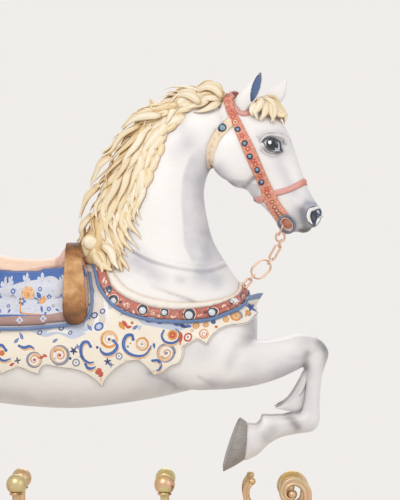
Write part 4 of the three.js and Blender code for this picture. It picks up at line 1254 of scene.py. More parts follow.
RINGS = [  # x, z, radius, and the paints of the rim and the heart
    (-43, 554, 12, GR, W), (84, 573, 11, GR, W), (289, 626, 14, RE, W), (311, 660, 11, OR, PE),
    (340, 661, 9, OR, PE), (362, 670, 7, DB, B), (370, 654, 6, PE, RE), (398, 677, 9, OR, PE),
    (422, 686, 14, OR, PE), (456, 693, 8, GR, OR), (242, 634, 15, OR, RE), (123, 669, 5, OR, RE),
    (488, 720, 4, OR, RE), (-262, 582, 9, OR, RE), (-292, 556, 9, GR, W), (-345, 548, 8, GR, W),
    (-372, 586, 8, OR, RE), (-456, 600, 8, GR, W), (-497, 660, 7, OR, PE), (110, 601, 4, GR, GR),
    (118, 610, 3, OR, OR), (-60, 566, 4, DB, DB), (20, 598, 4, DB, DB), (205, 549, 4, PE, PE),
    (300, 646, 5, OR, W),
]


def cloth_motifs():
    made = cloth_washes()
    for row in TARGETS:
        made += target(*row)
    for path, wide in HOOKS:
        shadow = np.array(path) + (2.0, -5.5)
        made += ribbon(shadow, wide * np.sin(np.pi * np.linspace(0.1, 0.9, len(path))) + 0.8, PE, 5)
        made += hook(path, wide, B)
    for row in LEAVES:
        made += leaf(*row)
    for row in CLUSTERS:
        made += cluster(*row)
    for x, z, r, rim, heart in RINGS:
        made += disc(x, z, r, rim, count=14) + disc(x, z, r * 0.62, heart, count=12)
        if r > 8:
            made += disc(x, z, r * 0.25, rim, count=8)
    made += hook([(410, 690), (418, 699), (432, 696), (436, 684), (428, 676)], 5, GR)
    made += hook([(446, 686), (452, 700), (464, 694)], 5, OR)
    # a fine grey line inside the scalloped edge
    inner = np.vstack([sweep(run, 6)[:-1] for run in CLOTH_RUNS[1:12]])
    ahead = np.gradient(inner, axis=0)
    inward = np.stack([-ahead[:, 1], ahead[:, 0]], axis=1)
    inward /= np.linalg.norm(inward, axis=1)[:, None]
    for start in range(0, len(inner) - 6, 60):
        made += ribbon((inner + inward * 4)[start : start + 60 : 3], 1.6, GR, 2)
    return made


print("motifs on each side:", len(cloth_motifs()))
cloth = panel("saddle_cloth", CLOTH_EDGE, cloth_motifs(), CLOTH_PAINTS, on_body, CLOTH, grid=9, soft=6)
print("cloth:", len(cloth.data.polygons), "faces")

# %% [markdown]
# ## Saddle
# The seat is one carved form with a high cantle, and below it a wide flap with blue florals over a band of
# small diamonds. The roll between them is bare pink leather-coloured paint.

# %% Seat of the saddle
STEEL = painted("steel_blue_paint", "6580ab", 0.4)
SLATE_BLUE = painted("slate_blue_paint", "7f90ab", 0.6)
PAD_CREAM = painted("pad_cream_paint", "eee6d8", 0.15)
seat_skin = melt([loft(SEAT, 44, start=10, end=10)], 0.005, 3)
piece("saddle_seat", seat_skin, ROSE)
saddle_points, saddle_faces = weld((bare_points, bare_faces), seat_skin)
SADDLED = BVHTree.FromPolygons(saddle_points.tolist(), saddle_faces)
print("seat:", len(seat_skin[1]), "faces")

# %% [markdown]
# The flap is a panel like the cloth, but draped over body and seat together. Its flowers follow each other in
# uneven waves, so they come from loops with sines and not from a table. The band of diamonds closes it below.

# %% Ornament of the flap
FLAP_EDGE = closed(
    [(-424, 800), (-429, 750), (-420, 681)],
    [(-420, 681), (-336, 660), (-210, 657), (-126, 663), (-12, 681)],
    [(-12, 681), (-3, 720), (-3, 756), (-12, 812)],
    [(-12, 812), (-120, 806), (-210, 802), (-300, 804), (-424, 812)],
)


def flap_motifs():
    """White and blue flowers on blue, a paler field with orange flowers, and a band of diamonds."""
    made = [(closed([(-440, 770), (-330, 762), (-211, 778), (-153, 782), (-110, 786), (-60, 762), (-40, 690)],
                    [(-40, 690), (-440, 690)], [(-440, 690), (-440, 770)]), 8)]
    made += [(closed([(-28, 830), (-26, 760), (-20, 700), (-24, 660)], [(-24, 660), (10, 640)],
                     [(10, 640), (10, 830)], [(10, 830), (-28, 830)]), 10)]
    for k in range(26):
        x, z = -410 + 15.6 * k, 770 + 10 * math.sin(1.9 * k)
        made += flower(x, z, 12 + 3 * math.sin(2.7 * k), 8, 1, 5, 0.9 * k)
    for k in range(30):
        x, z = -418 + 13.4 * k, 724 + 22 * math.sin(2.3 * k + 1)
        colour = (1, 2, 7)[k % 3]
        made += flower(x, z, 9 + 3 * math.sin(1.3 * k), colour, 8, 5, 0.7 * k)
        made += leaf(x + 6, z - 8, 14, 6, 0.8 * k, (1, 2)[k % 2])
    made += [(closed([(-450, 688), (-330, 682), (-210, 686), (-140, 688), (-78, 698), (10, 712)],
                     [(10, 712), (10, 640)], [(10, 640), (-450, 640)], [(-450, 640), (-450, 688)]), 9)]
    for x, z in [(-210, 674), (-140, 678), (-282, 674), (-354, 680), (-412, 690)]:
        made += disc(x, z, 10.5, 8, 1.0, 0.0, 4) + disc(x, z, 5, 7, 1.0, 0.0, 4)
    for x in (-186, -330):
        made += ribbon([(x - 20, 745), (x - 22, 715), (x - 16, 694), (x + 40, 690)], (2, 4, 4, 2), 4)
        made += disc(x, 753, 19, 4) + flower(x, 753, 20, 5, 4, 6) + coil(x, 753, 13, 4, 1.4, 0.5, 1, 0.2)
    for x in (-146, -376):
        made += leaf(x, 718, 32, 22, 1.3, 4, 5)
        made += leaf(x - 2, 742, 20, 12, 2.2, 2) + leaf(x, 714, 20, 8, -1.4, 2)
    for x, z, r in [(-172, 707, 14), (-300, 712, 13), (-250, 742, 12)]:
        made += disc(x, z, r, 1) + disc(x, z, r * 0.72, 8) + coil(x, z, r * 0.6, 1, 1.2, 0, 1, 0.3)
    for x, z, r in [(-123, 705, 7), (-150, 765, 6), (-270, 700, 6), (-230, 760, 7), (-95, 740, 6)]:
        made += disc(x, z, r, 2, count=12) + disc(x, z, r * 0.5, 1, count=8)
    return made


print("motifs on the flap:", len(flap_motifs()))

# %% [markdown]
# The roll of the seat is one more panel with a very soft edge, in two tones of rose. Blue piping runs round
# the flap: a round cord, laid along a path on the body.

# %% Flap, roll and piping
FIELD = painted("flap_field_paint", "cdced6", 0.4)
FLAP_PAINTS = [BLUE, WASH_BLUE, BLUE, DEEP_BLUE, ORANGE, PEACH, RED, GREY, FIELD, TAUPE, ROSE]
on_seat = Drape(SADDLED, high=775, low=500, reach=(90, 62))
panel("saddle_flap", FLAP_EDGE, flap_motifs(), FLAP_PAINTS, on_seat, FLAP, grid=9, soft=8, sunk=12)
ROLL_EDGE = closed([(-424, 858), (-300, 852), (-211, 849), (-153, 850), (-121, 855), (-77, 866), (-24, 880)],
                   [(-24, 880), (-20, 838)],
                   [(-20, 838), (-80, 824), (-112, 815), (-153, 807), (-211, 808), (-424, 812)],
                   [(-424, 812), (-424, 858)])
roll_light = closed([(-330, 850), (-211, 848), (-105, 856)], [(-105, 856), (-107, 818)],
                    [(-107, 818), (-211, 809), (-330, 810)], [(-330, 810), (-330, 850)])
on_roll = Drape(SADDLED, high=800, low=500, reach=(90, 50))
panel("seat_roll", ROLL_EDGE, [(roll_light, 1)], [ROSE, PALE_ROSE], on_roll, 16, grid=9, soft=20, sunk=14)
for side, name in SIDES.items():
    trim = [(-420, 674), (-336, 653), (-210, 650), (-126, 656), (-50, 664), (-8, 684), (4, 720), (4, 760),
            (-4, 800)]
    piece(f"flap_piping_{name}", cord(trim, 4.6, on_body, side, CLOTH + 5), STEEL)
print("paints of the flap:", len(FLAP_PAINTS))

# %% [markdown]
# ## Leather strap
# One real strap of brown leather goes over the pommel and hangs down both sides. It is thick, worn pale where
# hands hold it, and dark towards its ends. Its finish has blotches, pores and a darkening by height.

# %% Leather
def leather_finish():
    made, add, shader = material("strap_leather")
    place = add("TexCoord").outputs["Object"]
    blotch = noise(add, place, 26.0, 8.0, 0.6)
    height = add("SeparateXYZ", {"Vector": place}).outputs["Z"]
    low, high = ranged(add, height, 0.76, 0.66), ranged(add, height, 0.85, 0.91)
    ends = calc(add, "MULTIPLY", calc(add, "ADD", low, high), 0.62)
    tone = calc(add, "SUBTRACT", blotch, calc(add, "SUBTRACT", ends, 0.08))
    browns = (0.0, srgb("583313")), (0.3, srgb("935f2e")), (0.5, srgb("bd8850")), (0.68, srgb("d9ad79"))
    colour = ramp(add, tone, *browns)
    pores = add("TexVoronoi", {"Vector": place, "Scale": 420.0}).outputs["Distance"]
    # dust and painted shade in the hollows
    aged_and_shaded = use(add, dust_and_shade, Colour=colour, Strength=0.4)
    set_shader(shader, Base_Color=aged_and_shaded["Colour"], Roughness=ranged(add, blotch, to_low=0.42, to_high=0.68))
    bumped(add, shader, pores, 0.3, 0.0006)
    return made


LEATHER = leather_finish()
print("leather:", LEATHER.name)

# %% [markdown]
# The strap's middle line is drawn from the front, for one side, and mirrored. At each step along it a section
# with rounded edges is set square to the line. Its front and back edges are curves of the height, so that the
# strap narrows upwards and has a round end.

# %% Leather strap
STRAP_PATH = [(0, 0.9015), (0.040, 0.9010), (0.078, 0.894), (0.106, 0.876), (0.131, 0.845), (0.148, 0.805),
              (0.163, 0.765), (0.173, 0.72), (0.178, 0.69), (0.180, 0.664)]
STRAP_SECTION = [(-1, 0), (-0.97, 0.7), (-0.88, 1), (-0.4, 1.08), (0, 1.1), (0.4, 1.08), (0.88, 1),
                 (0.97, 0.7), (1, 0), (0.95, -0.9), (0, -1), (-0.95, -0.9)]
HALF_THICK = 0.0052


def strap_shape():
    half = sweep(STRAP_PATH, 5)
    line = np.vstack([(-half[::-1]) * (1, -1), half[1:]])
    ahead = headings(line)
    rows = []
    for (y, z), (ay, az) in zip(line, ahead):
        back = np.interp(z, (0.665, 0.672, 0.69, 0.72, 0.9), (-0.058, -0.071, -0.080, -0.083, -0.0765))
        front = np.interp(z, (0.665, 0.672, 0.69, 0.72, 0.785, 0.85, 0.9),
                          (-0.036, -0.020, -0.0125, -0.0115, -0.018, -0.026, -0.031))
        middle, wide = (back + front) / 2, (front - back) / 2
        rows.append([(middle + wide * u, y - az * v * HALF_THICK, z + ay * v * HALF_THICK)
                     for u, v in STRAP_SECTION])
    return tube(rows)


strap = piece("leather_strap", strap_shape(), LEATHER, "strap_leather", ["pommel_strap"])
print("leather strap:", len(strap.data.polygons), "faces")

# %% [markdown]
# ## Collar
# A brick-red breast band with pearl studs, edged above by a rounded cream pad, and below by dark piping.
# Its small leaves and scrolls follow the band's middle line and lean with it, and a painted ring waits
# under each stud.

# %% Ornament of the collar
BAND_TOP = [(12, 849), (39, 807), (72, 765), (120, 735), (183, 714), (246, 708), (309, 711), (372, 723),
            (429, 747), (500, 786)]
BAND_LOW = [(520, 765), (453, 723), (414, 702), (354, 681), (294, 675), (234, 675), (174, 681), (114, 696),
            (78, 714), (48, 741), (21, 783), (6, 831)]
BAND_EDGE = closed(BAND_TOP, [BAND_TOP[-1], BAND_LOW[0]], BAND_LOW, [BAND_LOW[-1], BAND_TOP[0]])
STUDS = [(68, 734, 12), (154, 706, 12.5), (218, 699, 10), (291, 692, 14), (359, 700, 12.5)]
middle_line = sweep([(14, 838), (31, 793), (60, 751), (98, 722), (150, 704), (210, 694), (275, 692),
                     (335, 696), (395, 713), (441, 735), (505, 774)], 10)


def band_motifs():
    made = []
    for k in range(2, len(middle_line) - 2, 2):
        x, z = middle_line[k]
        slope = math.atan2(*(middle_line[k + 1] - middle_line[k - 1])[::-1])
        lift = 6 * math.sin(1.7 * k)
        step = np.array([-math.sin(slope), math.cos(slope)]) * lift
        made += leaf(x + step[0], z + step[1], 13, 5.5, slope + 1.1 * math.sin(k), (1, 3, 4)[k // 2 % 3])
        made += disc(x - step[0] * 1.2, z - step[1] * 1.2, 2.6, (4, 1, 2)[k // 2 % 3], count=8)
    for k in range(4, len(middle_line) - 6, 7):
        x, z = middle_line[k]
        made += c_scroll(x, z, 8, (1, 4)[k % 2], 0.6 * k, 1 if k % 2 else -1, 0.4)
    for x, z, r in STUDS:
        made += disc(x, z, r * 1.7, 4) + disc(x, z, r * 1.4, 1) + disc(x, z, r * 1.2, 2)
    made += disc(417, 731, 13, 5, 1.0, 0.0, 4) + disc(449, 741, 14, 2) + disc(449, 741, 11.5, 4)
    return made + coil(449, 741, 8, 1, 1.3, 0.4, 1, 0.3) + disc(55, 764, 9, 2, count=14)


band_paints = [BRICK, PALE_ROSE, NAVY, CORAL, RED, SOFT_WHITE]
collar = panel("collar_band", BAND_EDGE, band_motifs(), band_paints, on_body, COLLAR, grid=8, soft=4)
print("collar:", len(collar.data.polygons), "faces")

# %% [markdown]
# The pad above the band is a narrow panel with a soft edge as wide as itself, so it comes out round. Before
# the chest, the cloth's front flares into a lip that turns outwards. It is a loft from side to side, whose
# section shrinks towards both ends.

# %% Pad, lip and piping
PAD_LINE = [(22, 846), (36, 826), (56, 806), (87, 783), (134, 757), (182, 741), (245, 730), (308, 729),
            (371, 736), (419, 750), (457, 772), (500, 800)]
PAD_FOOT = [(x, z - 3) for x, z in BAND_TOP[::-1]]
PAD_EDGE = closed(PAD_LINE, [PAD_LINE[-1], PAD_FOOT[0]], PAD_FOOT, [PAD_FOOT[-1], PAD_LINE[0]])
LIP = [(448, 744), (462, 748), (477, 750), (492, 753), (506, 757), (511, 755), (508, 749), (501, 738),
       (493, 722), (487, 706), (478, 692), (464, 684), (446, 690)]


def lip_shape():
    rings = []
    for y in np.linspace(-66, 66, 21):
        size = math.sqrt(max(1 - (y / 68) ** 2, 0.02)) ** 0.8
        long, tall = size * (1 + 0.05 * math.cos(y / 9)), 0.4 + 0.6 * size
        ring = [(448 + (x - 448) * long - 0.0045 * y * y, y, 718 + (z - 718) * tall) for x, z in LIP]
        rings.append(np.array(ring) * MM)
    points, faces = tube(rings)
    return (points, faces), [int(points[face, 2].mean() > 0.737) for face in faces]


lip, lip_paint = lip_shape()
piece("cloth_lip", lip, [CREAM, SLATE_BLUE], which=lip_paint)
panel("collar_pad", PAD_EDGE, [], [PAD_CREAM], on_body, COLLAR - 3, grid=8, soft=16, sunk=6)
for side, name in SIDES.items():
    trim = [(x, z - 3) for x, z in BAND_LOW[::-1]]
    piece(f"collar_piping_{name}", cord(trim, 5.2, on_body, side, CLOTH + 3), STEEL)
    piece(f"pad_piping_{name}", cord(PAD_LINE, 2.2, on_body, side, 2), PALE_ROSE)
print("lip:", len(lip[1]), "faces")


# %% [markdown]
# ## Bridle
# Flat painted straps round the head, carved in the wood as raised bands. They are panels on the head's
# drape, so each of them goes on over the brow or under the jaw and meets its other half.

# %% Outlines of the straps
CHEEKPIECE = closed([(387, 1380), (399, 1311), (420, 1260), (459, 1164), (498, 1080), (534, 1005),
                     (556, 976), (568, 950)],
                    [(568, 950), (602, 954)],
                    [(602, 954), (590, 990), (564, 1026), (528, 1095), (489, 1185), (444, 1275), (426, 1311),
                     (417, 1380)])
BROWBAND = closed([(420, 1345), (435, 1311), (453, 1299), (480, 1311), (504, 1352)],
                  [(504, 1352), (519, 1345)], [(519, 1345), (483, 1296), (453, 1284), (426, 1299)])
NOSEBAND = closed([(470, 1034), (510, 1050), (555, 1065), (594, 1077), (656, 1112)],
                  [(656, 1112), (660, 1090)],
                  [(660, 1090), (597, 1059), (558, 1047), (516, 1032), (484, 1018)],
                  [(484, 1018), (470, 1034)])
THROAT_LATCH = closed([(420, 1293), (369, 1242), (345, 1194), (343, 1160), (347, 1128)],
                      [(347, 1128), (361, 1130)],
                      [(361, 1130), (362, 1149), (372, 1185), (393, 1224), (432, 1263)])
CROWN = closed([(413, 1376), (421, 1352), (428, 1338)], [(428, 1338), (447, 1366), (452, 1380)],
               [(452, 1380), (413, 1376)])
CABOCHONS = [(437, 1244), (457, 1202), (472, 1164), (494, 1125), (508, 1089)]
print("cheekpiece's edge:", len(CHEEKPIECE), "points")

# %% [markdown]
# The cheekpiece has small painted rings at its ends and flowers between its glass gems, with a row of dots
# along each edge. The throat latch is cream, with a few peach dots and a dark ring for its gem.

# %% Ornament and straps of the bridle
def cheek_motifs():
    middle = sweep([(402, 1372), (412, 1311), (432, 1268), (474, 1175), (513, 1088), (549, 1016),
                    (570, 986)], 8)
    made = []
    for k in range(1, len(middle) - 2):
        x, z = middle[k]
        near_gem = min(math.dist((x, z), gem) for gem in CABOCHONS + [(430, 1266)]) < 15
        if near_gem or (k % 2 and not 1050 < z < 1300):
            continue
        odd = 3.0 * math.sin(2.1 * k)
        if z > 1300:
            made += disc(x + odd, z, 6.5, 1, count=12) + disc(x + odd, z, 4.2, 6, count=10)
            made += disc(x + odd, z, 1.8, 1, count=8)
        elif z > 1050:
            made += flower(x + odd, z, 9.5, 1, 3 if k % 2 else 0, 5, 0.7 * k)
        else:
            made += disc(x, z, 6, 4, count=12) + disc(x, z, 3.5, 3, count=10)
    for k in range(3, len(middle) - 3, 2):
        x, z = middle[k]
        made += disc(x - 12.5, z - 5, 2.6, 3, count=8) + disc(x + 12.5, z + 5, 2.6, 3, count=8)
    for x, z in CABOCHONS:
        made += disc(x, z, 9.5, 5, count=16)
    for r, colour, count in ((10, 1, 16), (7, 3, 12), (3.5, 1, 10)):
        made += disc(430, 1266, r, colour, count=count)
    return made


def latch_motifs():
    middle = sweep([(405, 1262), (377, 1228), (357, 1190), (352, 1150), (357, 1122)], 6)
    made = []
    for k in range(2, len(middle) - 1, 3):
        made += disc(*middle[k], 4.5, 1, count=10) + disc(*middle[k], 2.4, 0, count=8)
    return made + disc(391, 1250, 14, 2, count=20)


on_throat = Drape(BARE, (396, 1311), (-0.35, -1), high=9e3, low=-9e3, room=0.12)
LATCH_CREAM = painted("latch_cream_paint", "efd9bb", 0.25)
strap_paints = [CORAL, RED, DEEP_BLUE, PEACH, DARK_RED, NAVY, TAUPE]
panel("crown_strap", CROWN, [], [DARK_RED], on_head, STRAP - 2, grid=6, soft=4, sunk=5)
panel("cheekpiece", CHEEKPIECE, cheek_motifs(), strap_paints, on_head, STRAP, grid=6, soft=4, sunk=5)
panel("browband", BROWBAND, [], [PINK], on_head, STRAP - 1, grid=6, soft=4, sunk=5)
nose_red = closed([(618, 1070), (632, 1110), (655, 1120)], [(655, 1120), (655, 1090), (640, 1070)])
panel("noseband", NOSEBAND, [(nose_red, 1)], [PINK, CORAL], on_head, STRAP - 1, grid=6, soft=4, sunk=5)
panel("throat_latch", THROAT_LATCH, latch_motifs(), [LATCH_CREAM, PEACH, NAVY], on_throat, STRAP - 1,
      grid=6, soft=4, sunk=5)
print("motifs on the cheekpiece:", len(cheek_motifs()))

# %% [markdown]
# ## Eyes
# A glass eye is almond-shaped: a dark iris with a black pupil in a pale blue-white, under a heavy lid that
# is lined with dark paint. It is domed and very smooth. All glass here is a smooth coat over a cloudy
# colour, which is cheaper to render than real refraction and looks alike over foil.

# %% Glass
def glass(name, code, rough=0.04, metal=0.0, dark=0.35):
    """Coloured glass over foil: deep, very smooth, and slightly cloudy inside."""
    made, add, shader = material(name)
    place = add("TexCoord").outputs["Object"]
    cloud = noise(add, place, 220.0, 2.0)
    deep = tuple(c * dark for c in srgb(code))
    colour = ramp(add, cloud, (0.3, deep), (0.7, srgb(code)))
    set_shader(shader, Base_Color=colour, Roughness=rough, Metallic=metal)
    set_shader(shader, Coat_Weight=1.0, Coat_Roughness=0.02)
    return made


SLATE = painted("slate_paint", "5b6980", 0.3)
EYE_WHITE = glass("eye_white", "d9dee6", 0.08, dark=0.8)
EYE_IRIS = glass("eye_iris", "33353d", 0.05)
EYE_BLACK = glass("eye_black", "0b0c10", 0.03)
# the eye's painted highlights: white spots on the glass
EYE_PAINTED_HIGHLIGHT = glass("eye_painted_highlight", "f6f8fb", 0.1, dark=0.97)
LID = painted("lid_paint", "4b4c56", 0.3, 60.0, 0.35)
print("glass of the eye:", EYE_IRIS.name)

# %% [markdown]
# The eye is a small panel with discs for the iris, the pupil and two painted highlights, pushed up into a
# dome. Its lids are thin dark cords, and soft white cords make the folds of skin round it.

# %% Eyes
EYE_AT = np.array([540, 1198])
EYE_EDGE = closed([(-26, 10), (-15, 18), (-2, 20), (9, 16), (17, 5), (21, -8), (27, -20)],
                  [(27, -20), (14, -19), (0, -18), (-12, -13), (-20, -3), (-26, 10)]) + EYE_AT
# the two smallest discs are painted highlights
eye_motifs = (disc(*(EYE_AT + (-2, 2)), 17.5, 1, count=28) + disc(*EYE_AT, 10.5, 2, count=24)
              + disc(*(EYE_AT + (-7, 7)), 4.2, 3, count=14) + disc(*(EYE_AT + (8, -8)), 2, 3, count=10))


def dome(flat):
    far = np.linalg.norm((flat - EYE_AT) / (25, 21), axis=1)
    return 7 * np.sqrt(np.clip(1 - far**2, 0, 1))


panel("eyes", EYE_EDGE, eye_motifs, [EYE_WHITE, EYE_IRIS, EYE_BLACK, EYE_PAINTED_HIGHLIGHT], on_head, 2.0, grid=4, soft=5,
      carve=dome, slot="eye_glass", stands_for=["eye_right", "eye_left"])
UPPER_LID = [(-30, 9), (-24, 14), (-14, 20), (-2, 22), (10, 18), (19, 6), (23, -8), (30, -22)]
LOWER_LID = [(-27, 9), (-21, -4), (-12, -15), (2, -20), (16, -20.5), (29, -21)]
FOLD = [(-36, 8), (-28, 21), (-12, 29), (8, 28), (24, 16), (33, -4)]
BROW = [(-46, 24), (-24, 38), (6, 40), (30, 27), (44, 2)]
LOWER_FOLD = [(-34, -2), (-26, -18), (-8, -29), (12, -30)]


def round_eye(path, radius, out):
    return weld(*[cord(np.array(path) + EYE_AT, radius, on_head, side, out, 3) for side in SIDES])


piece("eye_liner", weld(round_eye(UPPER_LID, 2.1, 2.4), round_eye(LOWER_LID, 0.9, 1.4)), LID)
eye_folds = weld(round_eye(FOLD, 3.6, 0.5), round_eye(BROW, 5.0, -2.2), round_eye(LOWER_FOLD, 3.0, -1.4))
# the folds round the eyes take a little painted shade
piece("eye_folds", eye_folds, WHITE, lilac=0.2, brown=0.1)
print("folds round the eyes:", len(eye_folds[1]), "faces")

# %% [markdown]
# A painter rings the nostril with slate and white, and fills its hollow with navy. It is one more small
# panel, whose rim is raised a little.

# %% Painted nostrils
def shrunk(ring, share, middle):
    return (ring - middle) * share + middle


NOSTRIL = closed([(661, 1016), (678, 1008), (685, 988), (680, 966), (664, 957), (648, 968), (641, 990),
                  (647, 1008), (661, 1016)])
at_nose = np.array([663, 987])
NOSE_RING = closed([(642, 986), (647, 1005), (662, 1012), (678, 1006), (683, 990), (678, 968), (666, 958),
                    (649, 969), (642, 986)])
NOSE_HOLLOW = closed([(653, 986), (657, 999), (667, 1002), (676, 997), (675, 980), (666, 962), (658, 968),
                      (653, 986)])
nose_motifs = [(shrunk(NOSE_RING, 0.92, at_nose), 1), (shrunk(NOSE_HOLLOW, 1.1, np.array([665, 983])), 0),
               (NOSE_HOLLOW, 2)]


def nose_rim(flat):
    far = np.linalg.norm((flat - at_nose) / (22, 29), axis=1)
    return 3.0 * np.exp(-(((far - 0.82) / 0.13) ** 2))


panel("nostrils", NOSTRIL, nose_motifs, [SLATE, SOFT_WHITE, NAVY], on_head, 1.5, grid=4, soft=5, sunk=6,
      carve=nose_rim)
print("nostril's edge:", len(NOSTRIL), "points")


# %% [markdown]
# ## Hair
# Each lock is a pointed, leaf-like form with a ridge along it and a groove at each side, swept along a
# curve. Rows of them overlap down the neck like shingles, so that the mane is deep and broken, and no lock is
# quite like the next.

# %% Locks
def lock(points, wide, thick, facing, steps=14, curl=0.0, taper=0.6, strands=4):
    """A tapering lock through points in metres, its flat side facing `facing`; with it come its tones and
    painted shade.
    """
    path = sweep(points, max(2, steps // (len(points) - 1)))
    ahead = headings(path)
    across = np.cross(ahead, np.asarray(facing, float))
    across /= np.linalg.norm(across, axis=1)[:, None]
    up = np.cross(across, ahead)
    t = np.linspace(0, 1, len(path))
    swell = np.sin(np.pi * np.clip(t, 0.015, 0.99) ** taper)
    angles = around(14)
    grooves = np.cos(strands * angles)
    ridge = 1 + 0.16 * grooves
    tone = 0.3 + 0.45 * random.random()
    rings, tints = [], []
    for k in range(1, len(path) - 1):
        roll = curl * (t[k] - 0.3)
        a = across[k] * math.cos(roll) + up[k] * math.sin(roll)
        u = up[k] * math.cos(roll) - across[k] * math.sin(roll)
        flat = np.outer(np.cos(angles) * ridge, a) * wide / 2
        flat += np.outer(np.sin(angles) * ridge, u) * thick / 2
        rings.append(path[k] + flat * swell[k] * MM)
        # painted shade in the tones: darker at the root, in the grooves and on the side towards the skin;
        # lighter towards the tip
        root = 0.3 * math.exp(-t[k] / 0.12)
        tints.append(tone + 0.2 * grooves + 0.16 * np.sin(angles) - root + 0.1 * t[k])
    tints = np.clip(np.concatenate([*tints, [0.2, 0.6]]), 0, 1)
    return *tube(rings, path[0], path[-1]), tints


def hair(name, locks, **given):
    """Locks as one piece."""
    return piece(name, weld(*locks), HAIR, tint=np.concatenate([tint for _, _, tint in locks]), **given)


print("paint of the locks:", HAIR.name)

# %% [markdown]
# Rows of locks start near the crest and hang down the neck. A lock's path is given by where it is along the
# neck, how far below the crest and how far proud of the skin, and it waves as it goes. The odds in it come
# from one seeded generator, so every run gives the same hair.

# %% Rows of locks
def on_neck(u, down, side, out):
    """A point of the neck, `down` mm from its crest along the rib, and `out` mm proud."""
    row = rib_at(NECK, u)
    angle = side * math.acos(max(-1, min(1, 1 - max(down, 0.5) * MM / row[2])))
    return on_rib(row, angle, out * MM)


def mane_row(count, side, start, stop, long, lifts, wide, first=0.97, last=0.14, sway=9, waves=0.95):
    """Wavy locks from the poll to the withers, each `long` of the neck's length. They run from `start` to
    `stop` mm below the crest, less far down near the poll, and lie closer near the withers."""
    made = []
    for k in range(count):
        u = first + (last - first) * (k + 0.7 * (random.random() - 0.5)) / (count - 1)
        odd, phase = random.random(), 0.25 * math.sin(7 * u) + 0.3 * random.random()
        reach = long * (0.75 + 0.6 * odd)
        hang = np.interp(u, (0.1, 0.35, 0.6, 0.85, 1), (0.66, 0.73, 0.7, 0.5, 0.32))
        close = np.interp(u, (0.1, 0.4, 0.8), (0.6, 0.85, 1))
        points = []
        for t in np.linspace(0, 1, 8):
            lift = np.interp(t, np.linspace(0, 1, len(lifts)), lifts) * (0.75 + 0.5 * odd) * close
            wave = sway * (0.35 + t) * math.sin(2 * math.pi * (waves * t + phase))
            down = hang * (start + (stop - start) * (0.6 + 0.7 * odd) * t**1.3) + wave
            points.append(on_neck(u - reach * t, down, side, lift))
        middle = u - reach / 2
        facing = on_neck(middle, (start + stop) / 2, side, 10) - on_neck(middle, (start + stop) / 2, side, 0)
        girth = wide * (0.7 + 0.6 * random.random()) * (0.8 + rib_at(NECK, middle)[2] / 0.7)
        made.append(lock(points, girth, girth * 0.42, facing, 16, 1.2 * (random.random() - 0.5)))
    return made


print("crest at the middle of the neck:", on_neck(0.5, 0, 1, 0).round(3))

# %% [markdown]
# Under the locks lies a plain bed, so that no skin shows between them. The rows go on from the crest
# downwards, and more of them hang on the horse's right, the side that people see.

# %% Bed and rows of the mane
mane_bed_rows = []
for u in (0.02, 0.2, 0.4, 0.6, 0.8, 0.95):
    row = rib_at(NECK, u).copy()
    deep = (36 + 12 * (1 - u)) * MM
    crest = row[:2] + row[3:5] * row[2]
    row[:2] = crest - row[3:5] * deep * 0.5
    row[2], row[5], row[7] = deep, row[5] * (0.62 - 0.22 * u), 0
    mane_bed_rows.append(row)
bed = loft(mane_bed_rows, 20, start=20, end=20)
mane = [
    *mane_row(26, -1, 4, 30, 0.17, [-4, 14, 24, 32, 36], 30),
    *mane_row(20, 1, 4, 30, 0.17, [-4, 14, 24, 32, 36], 30),
    *mane_row(22, -1, 3, 10, 0.12, [0, 18, 32, 42, 54], 17, sway=4),
    *mane_row(28, -1, 16, 56, 0.17, [-4, 14, 21, 23, 19], 30),
    *mane_row(28, -1, 34, 84, 0.17, [-5, 11, 16, 17, 12], 29),
    *mane_row(24, -1, 56, 112, 0.16, [-5, 8, 12, 12, 7], 27, first=0.94, last=0.16),
    *mane_row(20, -1, 80, 142, 0.15, [-6, 6, 9, 8, 4], 24, first=0.86, last=0.18),
    *mane_row(14, -1, 108, 168, 0.14, [-6, 5, 6, 5, 2], 18, first=0.72, last=0.2, sway=13),
    *mane_row(18, 1, 30, 90, 0.18, [-6, 10, 14, 13, 8], 36),
    *mane_row(12, 1, 66, 130, 0.17, [-6, 7, 9, 8, 4], 30, first=0.85, last=0.18),
]
print("locks in rows:", len(mane))

# %% [markdown]
# Longer locks sweep back from the poll and stand away from the crest, and they give the mane its lively outer
# edge. Each path is in side view, and is repeated across the neck with small odds.

# %% Locks of the poll and the crest
POLL = [
    [(388, 1360), (371, 1381), (344, 1387), (318, 1375), (306, 1362)],
    [(322, 1344), (297, 1372), (265, 1370), (243, 1354)],
    [(262, 1334), (228, 1338), (192, 1321), (173, 1344)],
    [(216, 1308), (170, 1308), (124, 1291), (89, 1260)],
    [(150, 1270), (92, 1240), (54, 1196), (30, 1180)],
    [(60, 1180), (30, 1160), (12, 1130), (-4, 1092)],
    [(24, 1090), (-8, 1060), (-22, 1028), (-34, 990)],
    [(0, 1000), (-26, 972), (-31, 940), (-44, 912)],
]
for number, path in enumerate(POLL):
    wide = 22 if number < 4 else 15
    for y in (-52, -32, -12, 12, 34):
        y *= 0.8 + 0.4 * random.random()
        bent = np.array(path, float) + random.normal(0, 3.5, (len(path), 2))
        spots = [(x * MM, y * (1 - 0.2 * i) * MM, (z - 0.35 * abs(y)) * MM) for i, (x, z) in enumerate(bent)]
        mane.append(lock(spots, wide, 0.6 * wide, (-0.3, 0.03 * y, 0.6), 16, random.random() - 0.5))
POLL_SIDE = [[(404, 1354), (385, 1345), (362, 1335), (324, 1334), (288, 1320)],
             [(402, 1350), (388, 1330), (364, 1312), (330, 1299), (304, 1296)],
             [(398, 1358), (372, 1350), (340, 1346), (306, 1330), (270, 1316)],
             [(360, 1344), (330, 1322), (300, 1312), (262, 1290)]]
